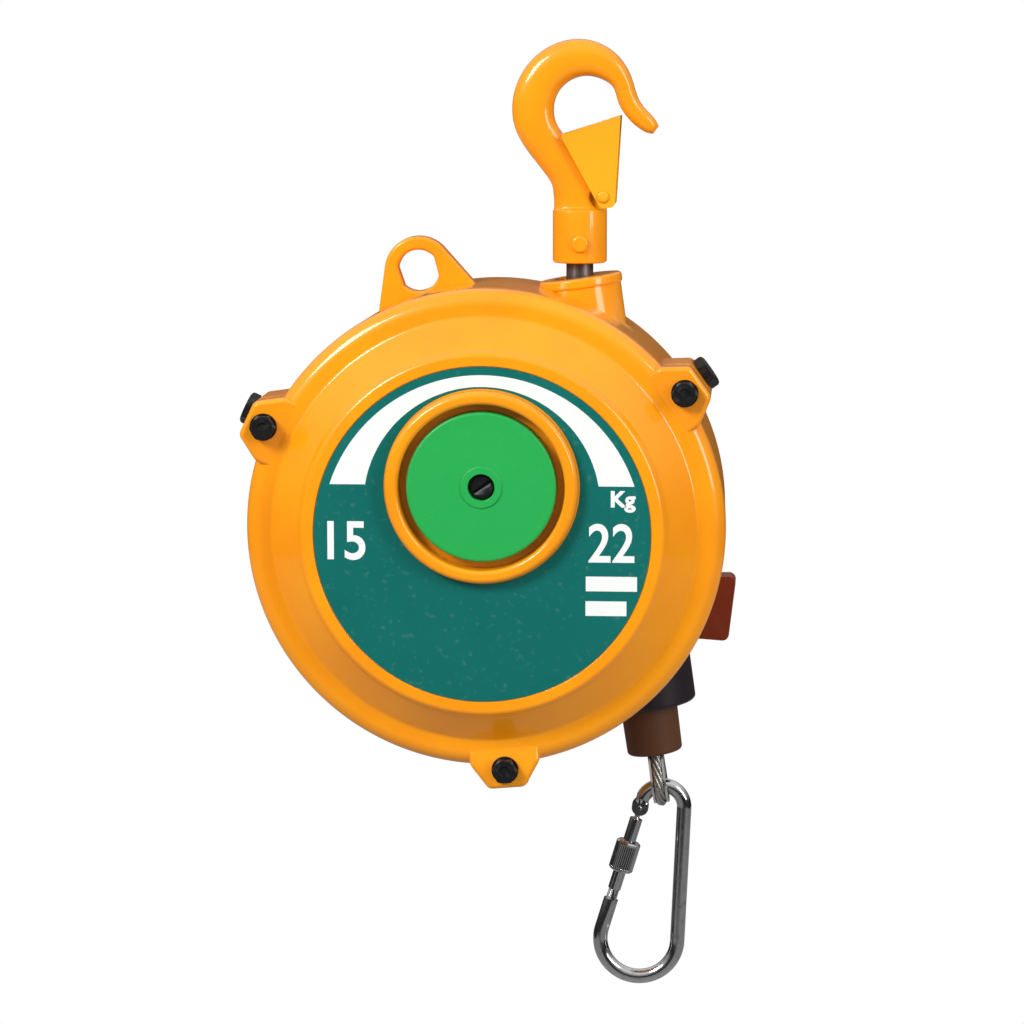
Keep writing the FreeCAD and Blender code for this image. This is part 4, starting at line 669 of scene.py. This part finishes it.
guide_black = moulded("black_plastic", (0.016, 0.011, 0.015), rough=0.42, depth_mm=0.015, blotch=0.08)
stopper_brown = moulded("brown_rubber", (0.098, 0.036, 0.012), rough=0.55, grain_mm=0.8, depth_mm=0.03,
                        blotch=0.15)
grip_brown = moulded("red_brown_plastic", (0.20, 0.028, 0.006), rough=0.36, depth_mm=0.015)
finish_of_slot = {
    "casing_paint": casing_enamel, "hook_paint": hook_enamel, "latch_paint": latch_enamel,
    "black_oxide": black_oxide, "zinc": zinc, "bearing_steel": bearing_steel, "spring_steel": spring_steel,
    "rope_steel": rope_steel, "label_vinyl": label.material, "cap_green": cap_green,
    "guide_black": guide_black, "stopper_brown": stopper_brown, "grip_brown": grip_brown,
    "gasket_fibre": gasket_fibre, "drum_alloy": drum_alloy, "case_iron": case_iron, "bronze": bronze}
for node, solid in nodes.items():
    solid.data.materials.clear()
    solid.data.materials.append(finish_of_slot[slot_of_node[node]])

# ---- shaft's rear end and lock lever ------------------------------------------------------------------
# A black moulded cap with three screws closes the shaft's nut off. The lever that locks the drum comes
# through a slot in the rim and carries a red-brown moulded thumb piece.
dress("shaft_hexagon_nut", "shaft_nut", zinc)
dress("black_rear_cap", "rear_cap", guide_black)
dress("rear_screws", "rear_cap_screws", zinc)
dress("plated_lever", "lock_lever", zinc)
# the thumb piece's edges are rounded by its mould
mould_rounding = dress("thumb_piece", "lever_grip", grip_brown).modifiers.new("mould_rounding", "BEVEL")
mould_rounding.width = 1.2 * MM
mould_rounding.segments = 3
mould_rounding.limit_method = "ANGLE"
mould_rounding.angle_limit = np.radians(40)

# ---- rope guide and stopper ---------------------------------------------------------------------------
# The rope leaves through a black moulded bush. The brown rubber stopper rides on the rope's end and meets
# the bush when the rope is drawn in, which halts it.
dress("black_rope_guide", "cable_guide", guide_black)
dress("rubber_stopper", "cable_stopper", stopper_brown)

# ---- wire rope ----------------------------------------------------------------------------------------
# Galvanised rope of 4.8 mm, six strands of seven wires laid round a core. It is bent round a thimble
# into an eye, and a pressed sleeve inside the stopper holds both ends.
ROPE_R = 2.4
LAY = 31.0                           # rope length over which a strand goes round once
STRANDS = 6
STRAND_R = ROPE_R * 0.345
CORE_R = ROPE_R * 0.42
PARTING_R = 54.1                     # where the rope leaves the drum, from the shaft's axis
LEG_OFFSET = ROPE_R + 0.05           # from the eye's middle to the rope on either side, in the ferrule
EYE_START = 118.297                  # lengths along the rope from where it leaves the drum
LEGS_PART = 132.797
EYE_END = 161.047
EYE_R = 8.5
LEG_BEND_R = 12
rope_dir = np.array(joints["cable_travel"]["axis"], float)
rope_side = np.array([-rope_dir[2], 0, rope_dir[0]])
rope_start = np.array([SHAFT[0], 0, SHAFT[1]]) + rope_side * PARTING_R


def on_rope(across, along):
    """P = start - across Y + along d, where d is the way that the rope hangs."""
    return rope_start + np.outer(across, (0, -1, 0)) + np.outer(along, rope_dir)


def evenly(path, count):
    """A path's points again, at even steps of its length."""
    run = np.r_[0, np.cumsum(np.linalg.norm(np.diff(path, axis=0), axis=1))]
    at = np.linspace(0, run[-1], count)
    return np.stack([np.interp(at, run, path[:, k]) for k in range(3)], -1), at


def laid_rope(skin, path, count, around=24):
    """Strands C_k(s) = P(s) + a (cos q n + sin q b), q = 2 pi (s / lay + k / 6), laid round a core.

    A strand's radius is r (0.9 + 0.1 |cos 3 (t + 2.2 q)|), whose six lobes are its outer wires.
    """
    path, run = evenly(path, count)
    tangent = np.gradient(path, axis=0)
    tangent /= np.linalg.norm(tangent, axis=1, keepdims=True)
    b = np.broadcast_to(rope_side, path.shape)
    n = np.cross(tangent, b)
    n /= np.linalg.norm(n, axis=1, keepdims=True)
    t = np.linspace(0, 2 * np.pi, around, endpoint=False)
    ring = np.cos(t)[None, :, None] * n[:, None] + np.sin(t)[None, :, None] * b[:, None]
    for k in range(STRANDS):
        q = 2 * np.pi * (run / LAY + k / STRANDS)
        centre = path + (ROPE_R - STRAND_R) * (np.cos(q)[:, None] * n + np.sin(q)[:, None] * b)
        lobes = STRAND_R * (0.90 + 0.10 * np.abs(np.cos(3 * (t[None] + 2.2 * q[:, None]))))
        skin.add(centre[:, None] + lobes[..., None] * ring, caps=True)
    skin.add(path[:, None] + CORE_R * ring, caps=True)


# the legs lean outwards from where they part and touch the round end of the eye
part_to_centre = EYE_END - EYE_R - LEGS_PART
lean = np.arcsin(EYE_R / np.hypot(LEG_OFFSET, part_to_centre)) - np.arctan(LEG_OFFSET / part_to_centre)
spread = LEG_OFFSET + (EYE_END - LEGS_PART) * np.tan(lean)
eye_line = rounded([(-LEG_OFFSET, EYE_START), (-LEG_OFFSET, LEGS_PART, LEG_BEND_R),
                    (-spread, EYE_END, EYE_R), (spread, EYE_END, EYE_R),
                    (LEG_OFFSET, LEGS_PART, LEG_BEND_R), (LEG_OFFSET, EYE_START)], steps=24)
eye = Skin()
laid_rope(eye, on_rope(eye_line[:, 0], eye_line[:, 1]), count=190)
make_piece("rope_eye_strands", eye, rope_steel, "cable_eye", crease=60.0)
dress("pressed_ferrule", "cable_ferrule", zinc)
dress("rope_thimble", "thimble", zinc)

# the free run stretches between the casing and the rope's end, so it rides on no single body
free_run = Skin()
laid_rope(free_run, on_rope(np.zeros(2), np.array([0.0, EYE_START])), count=60, around=16)
run_piece = finished("rope_run_strands", free_run.mesh("rope_run_strands"), rope_steel, None, ("cable_run",),
                     crease=60.0)
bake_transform(run_piece)

# ---- carabiner ----------------------------------------------------------------------------------------
# Snap hook bent from plated round bar, with a pinned gate and a knurled sleeve that screws along the gate
# over its free end. It swings in the thimble, and the tool hangs in its lower bend.
chrome = bare_metal("bright_plated_bar", (0.56, 0.55, 0.55), rough=0.07, grain_mm=4.0,
                    soil=(0.16, 0.14, 0.12))
dress("carabiner_bar", "carabiner_body", chrome, crease=40.0)
dress("gate_hinge_pin", "gate_pin", chrome)
dress("gate_bar", "carabiner_gate", chrome, crease=40.0)
gate_pin = np.array(joints["gate_hinge"]["pos_m"]) / MM
gate_line = np.array(joints["sleeve_screw"]["axis"], float)
gate_side = np.cross(gate_line, (0, 1, 0))


def on_gate(along, radius, t):
    """P = pin + s * axis + r (cos t * side + sin t * Y), for rings of (s, r)."""
    ring = np.cos(t)[..., None] * gate_side + np.sin(t)[..., None] * np.array([0, 1, 0])
    return gate_pin + np.asarray(along)[..., None] * gate_line + np.asarray(radius)[..., None] * ring


SLEEVE_START = 17.0                  # from the gate's pin
SLEEVE_LENGTH = 14.0
SLEEVE_BORE_R = 2.98
SLEEVE_R = 5.58
RIDGES = 34
RIDGE_DEPTH = 0.42
t = np.linspace(0, 2 * np.pi, RIDGES * 6, endpoint=False)[None]
# one end of the sleeve: length from that end, radius, and 1 where it is knurled
end = np.array([(0, SLEEVE_BORE_R, 0), (0, 4.9, 0), (0.7, 5.55, 0), (1.3, SLEEVE_R, 0), (1.7, SLEEVE_R, 1)])
other_end = end[::-1] * (-1, 1, 1) + (SLEEVE_LENGTH, 0, 0)
lengths, radii, knurled = np.concatenate([end, other_end]).T[..., None]
radii = radii - knurled * RIDGE_DEPTH * np.abs(np.sin(RIDGES * t / 2)) ** 3
sleeve = Skin()
sleeve.add(on_gate(np.broadcast_to(SLEEVE_START + lengths, radii.shape), radii,
                   np.broadcast_to(t, radii.shape)), wrap_rows=True)
make_piece("knurled_sleeve", sleeve, chrome, "screw_sleeve", crease=40.0)

# ---- studio -------------------------------------------------------------------------------------------
# Pale floor that lies lower than the rope reaches, white surroundings, a large soft lamp on either side
# of the camera and a long lens from a little above.
FLOOR_Z = -2400.0
FLOOR_HALF = 8000.0
CAMERA_AZIMUTH = np.radians(4.0)
CAMERA_HEIGHT = np.radians(8.0)
CAMERA_DISTANCE_M = 1.6
AIM_RIGHT_M = -0.0333                # the view's middle from the frame's origin
AIM_UP_M = -0.1774
LENS_MM = 127.5
SENSOR_MM = 36.0
LAMPS_AIM_M = (-0.03, 0, -0.18)
ROOM_LIGHT = 0.52
MIRRORED_LOW = 0.03                  # how bright shiny faces see the room, level and overhead
MIRRORED_HIGH = 1.0
MIRRORED_FROM = 0.05                 # rise of a mirrored ray where it starts to brighten, and where it ends
MIRRORED_TO = 0.75
scene = bpy.context.scene


def mixed_shader(tree, factor, first, second):
    """Shader that goes from the first to the second as the factor goes from 0 to 1."""
    node = tree.nodes.new("ShaderNodeMixShader")
    for source, socket in zip((factor, first, second), node.inputs):
        tree.links.new(source, socket)
    return node.outputs["Shader"]


def soft_lamp(name, place, size, watts):
    """Rectangular lamp, in metres, that faces the balancer."""
    lamp = bpy.data.lights.new(name, "AREA")
    lamp.shape = "RECTANGLE"
    lamp.size, lamp.size_y = size
    lamp.energy = watts
    holder = bpy.data.objects.new(name, lamp)
    holder.location = place
    holder.rotation_euler = (Vector(place) - Vector(LAMPS_AIM_M)).to_track_quat("Z", "Y").to_euler()
    scene.collection.objects.link(holder)


# the floor gives light back like paper, and looks plain white from the camera
floor_paper = bpy.data.materials.new("floor_paper")
floor_paper.use_nodes = True
tree = floor_paper.node_tree
paper = tree.nodes["Principled BSDF"]
paper.inputs["Base Color"].default_value = (0.55, 0.55, 0.55, 1)
paper.inputs["Roughness"].default_value = 0.9
seen = tree.nodes.new("ShaderNodeLightPath")
glow = tree.nodes.new("ShaderNodeEmission")
tree.links.new(mixed_shader(tree, seen.outputs["Is Camera Ray"], paper.outputs["BSDF"],
                            glow.outputs["Emission"]), tree.nodes["Material Output"].inputs["Surface"])
floor_mesh = bpy.data.meshes.new("floor")
corners = np.array([(-1, -1, 0), (1, -1, 0), (1, 1, 0), (-1, 1, 0)]) * FLOOR_HALF + (0, 0, FLOOR_Z)
floor_mesh.from_pydata((corners * MM).tolist(), [], [(0, 1, 2, 3)])
floor_mesh.materials.append(floor_paper)
floor = bpy.data.objects.new("floor", floor_mesh)
scene.collection.objects.link(floor)

right = Vector((np.cos(CAMERA_AZIMUTH), np.sin(CAMERA_AZIMUTH), 0))
outwards = Vector((np.sin(CAMERA_AZIMUTH) * np.cos(CAMERA_HEIGHT),
                   -np.cos(CAMERA_AZIMUTH) * np.cos(CAMERA_HEIGHT), np.sin(CAMERA_HEIGHT)))
upwards = outwards.cross(right)
target = right * AIM_RIGHT_M + upwards * AIM_UP_M
lens = bpy.data.cameras.new("long_lens")
lens.lens = LENS_MM
lens.sensor_width = SENSOR_MM
camera = bpy.data.objects.new("camera", lens)
camera.matrix_world = Matrix.Translation(target + outwards * CAMERA_DISTANCE_M) @ Matrix(
    (right, upwards, outwards)).transposed().to_4x4()
scene.collection.objects.link(camera)
scene.camera = camera

soft_lamp("key_lamp", place=(-1.0, -1.1, 0.75), size=(0.55, 0.55), watts=23.0)
soft_lamp("fill_lamp", place=(1.2, -0.9, 0.35), size=(0.4, 1.0), watts=12.0)

# The room is white to the camera and an even grey light to everything else, apart from shiny faces: they
# see it dark at eye level and white overhead, which gives round bars their dark middle.
world = bpy.data.worlds.new("white_studio")
scene.world = world
world.use_nodes = True
tree = world.node_tree
room = tree.nodes["Background"]
mirrored = tree.nodes.new("ShaderNodeBackground")
backdrop = tree.nodes.new("ShaderNodeBackground")
for surroundings in (room, mirrored, backdrop):
    surroundings.inputs["Color"].default_value = (1, 1, 1, 1)
room.inputs["Strength"].default_value = ROOM_LIGHT
gaze = tree.nodes.new("ShaderNodeTexCoord")
split = tree.nodes.new("ShaderNodeSeparateXYZ")
tree.links.new(gaze.outputs["Generated"], split.inputs[0])
climb = tree.nodes.new("ShaderNodeMapRange")
for socket, value in (("From Min", MIRRORED_FROM), ("From Max", MIRRORED_TO),
                      ("To Min", MIRRORED_LOW), ("To Max", MIRRORED_HIGH)):
    climb.inputs[socket].default_value = value
tree.links.new(split.outputs["Z"], climb.inputs["Value"])
tree.links.new(climb.outputs["Result"], mirrored.inputs["Strength"])
seen = tree.nodes.new("ShaderNodeLightPath")
direct = tree.nodes.new("ShaderNodeMath")
direct.operation = "MAXIMUM"
tree.links.new(seen.outputs["Is Camera Ray"], direct.inputs[0])
tree.links.new(seen.outputs["Is Transmission Ray"], direct.inputs[1])
indirect = mixed_shader(tree, seen.outputs["Is Glossy Ray"], room.outputs["Background"],
                        mirrored.outputs["Background"])
tree.links.new(mixed_shader(tree, direct.outputs["Value"], indirect, backdrop.outputs["Background"]),
               tree.nodes["World Output"].inputs["Surface"])
scene.view_settings.view_transform = "Standard"
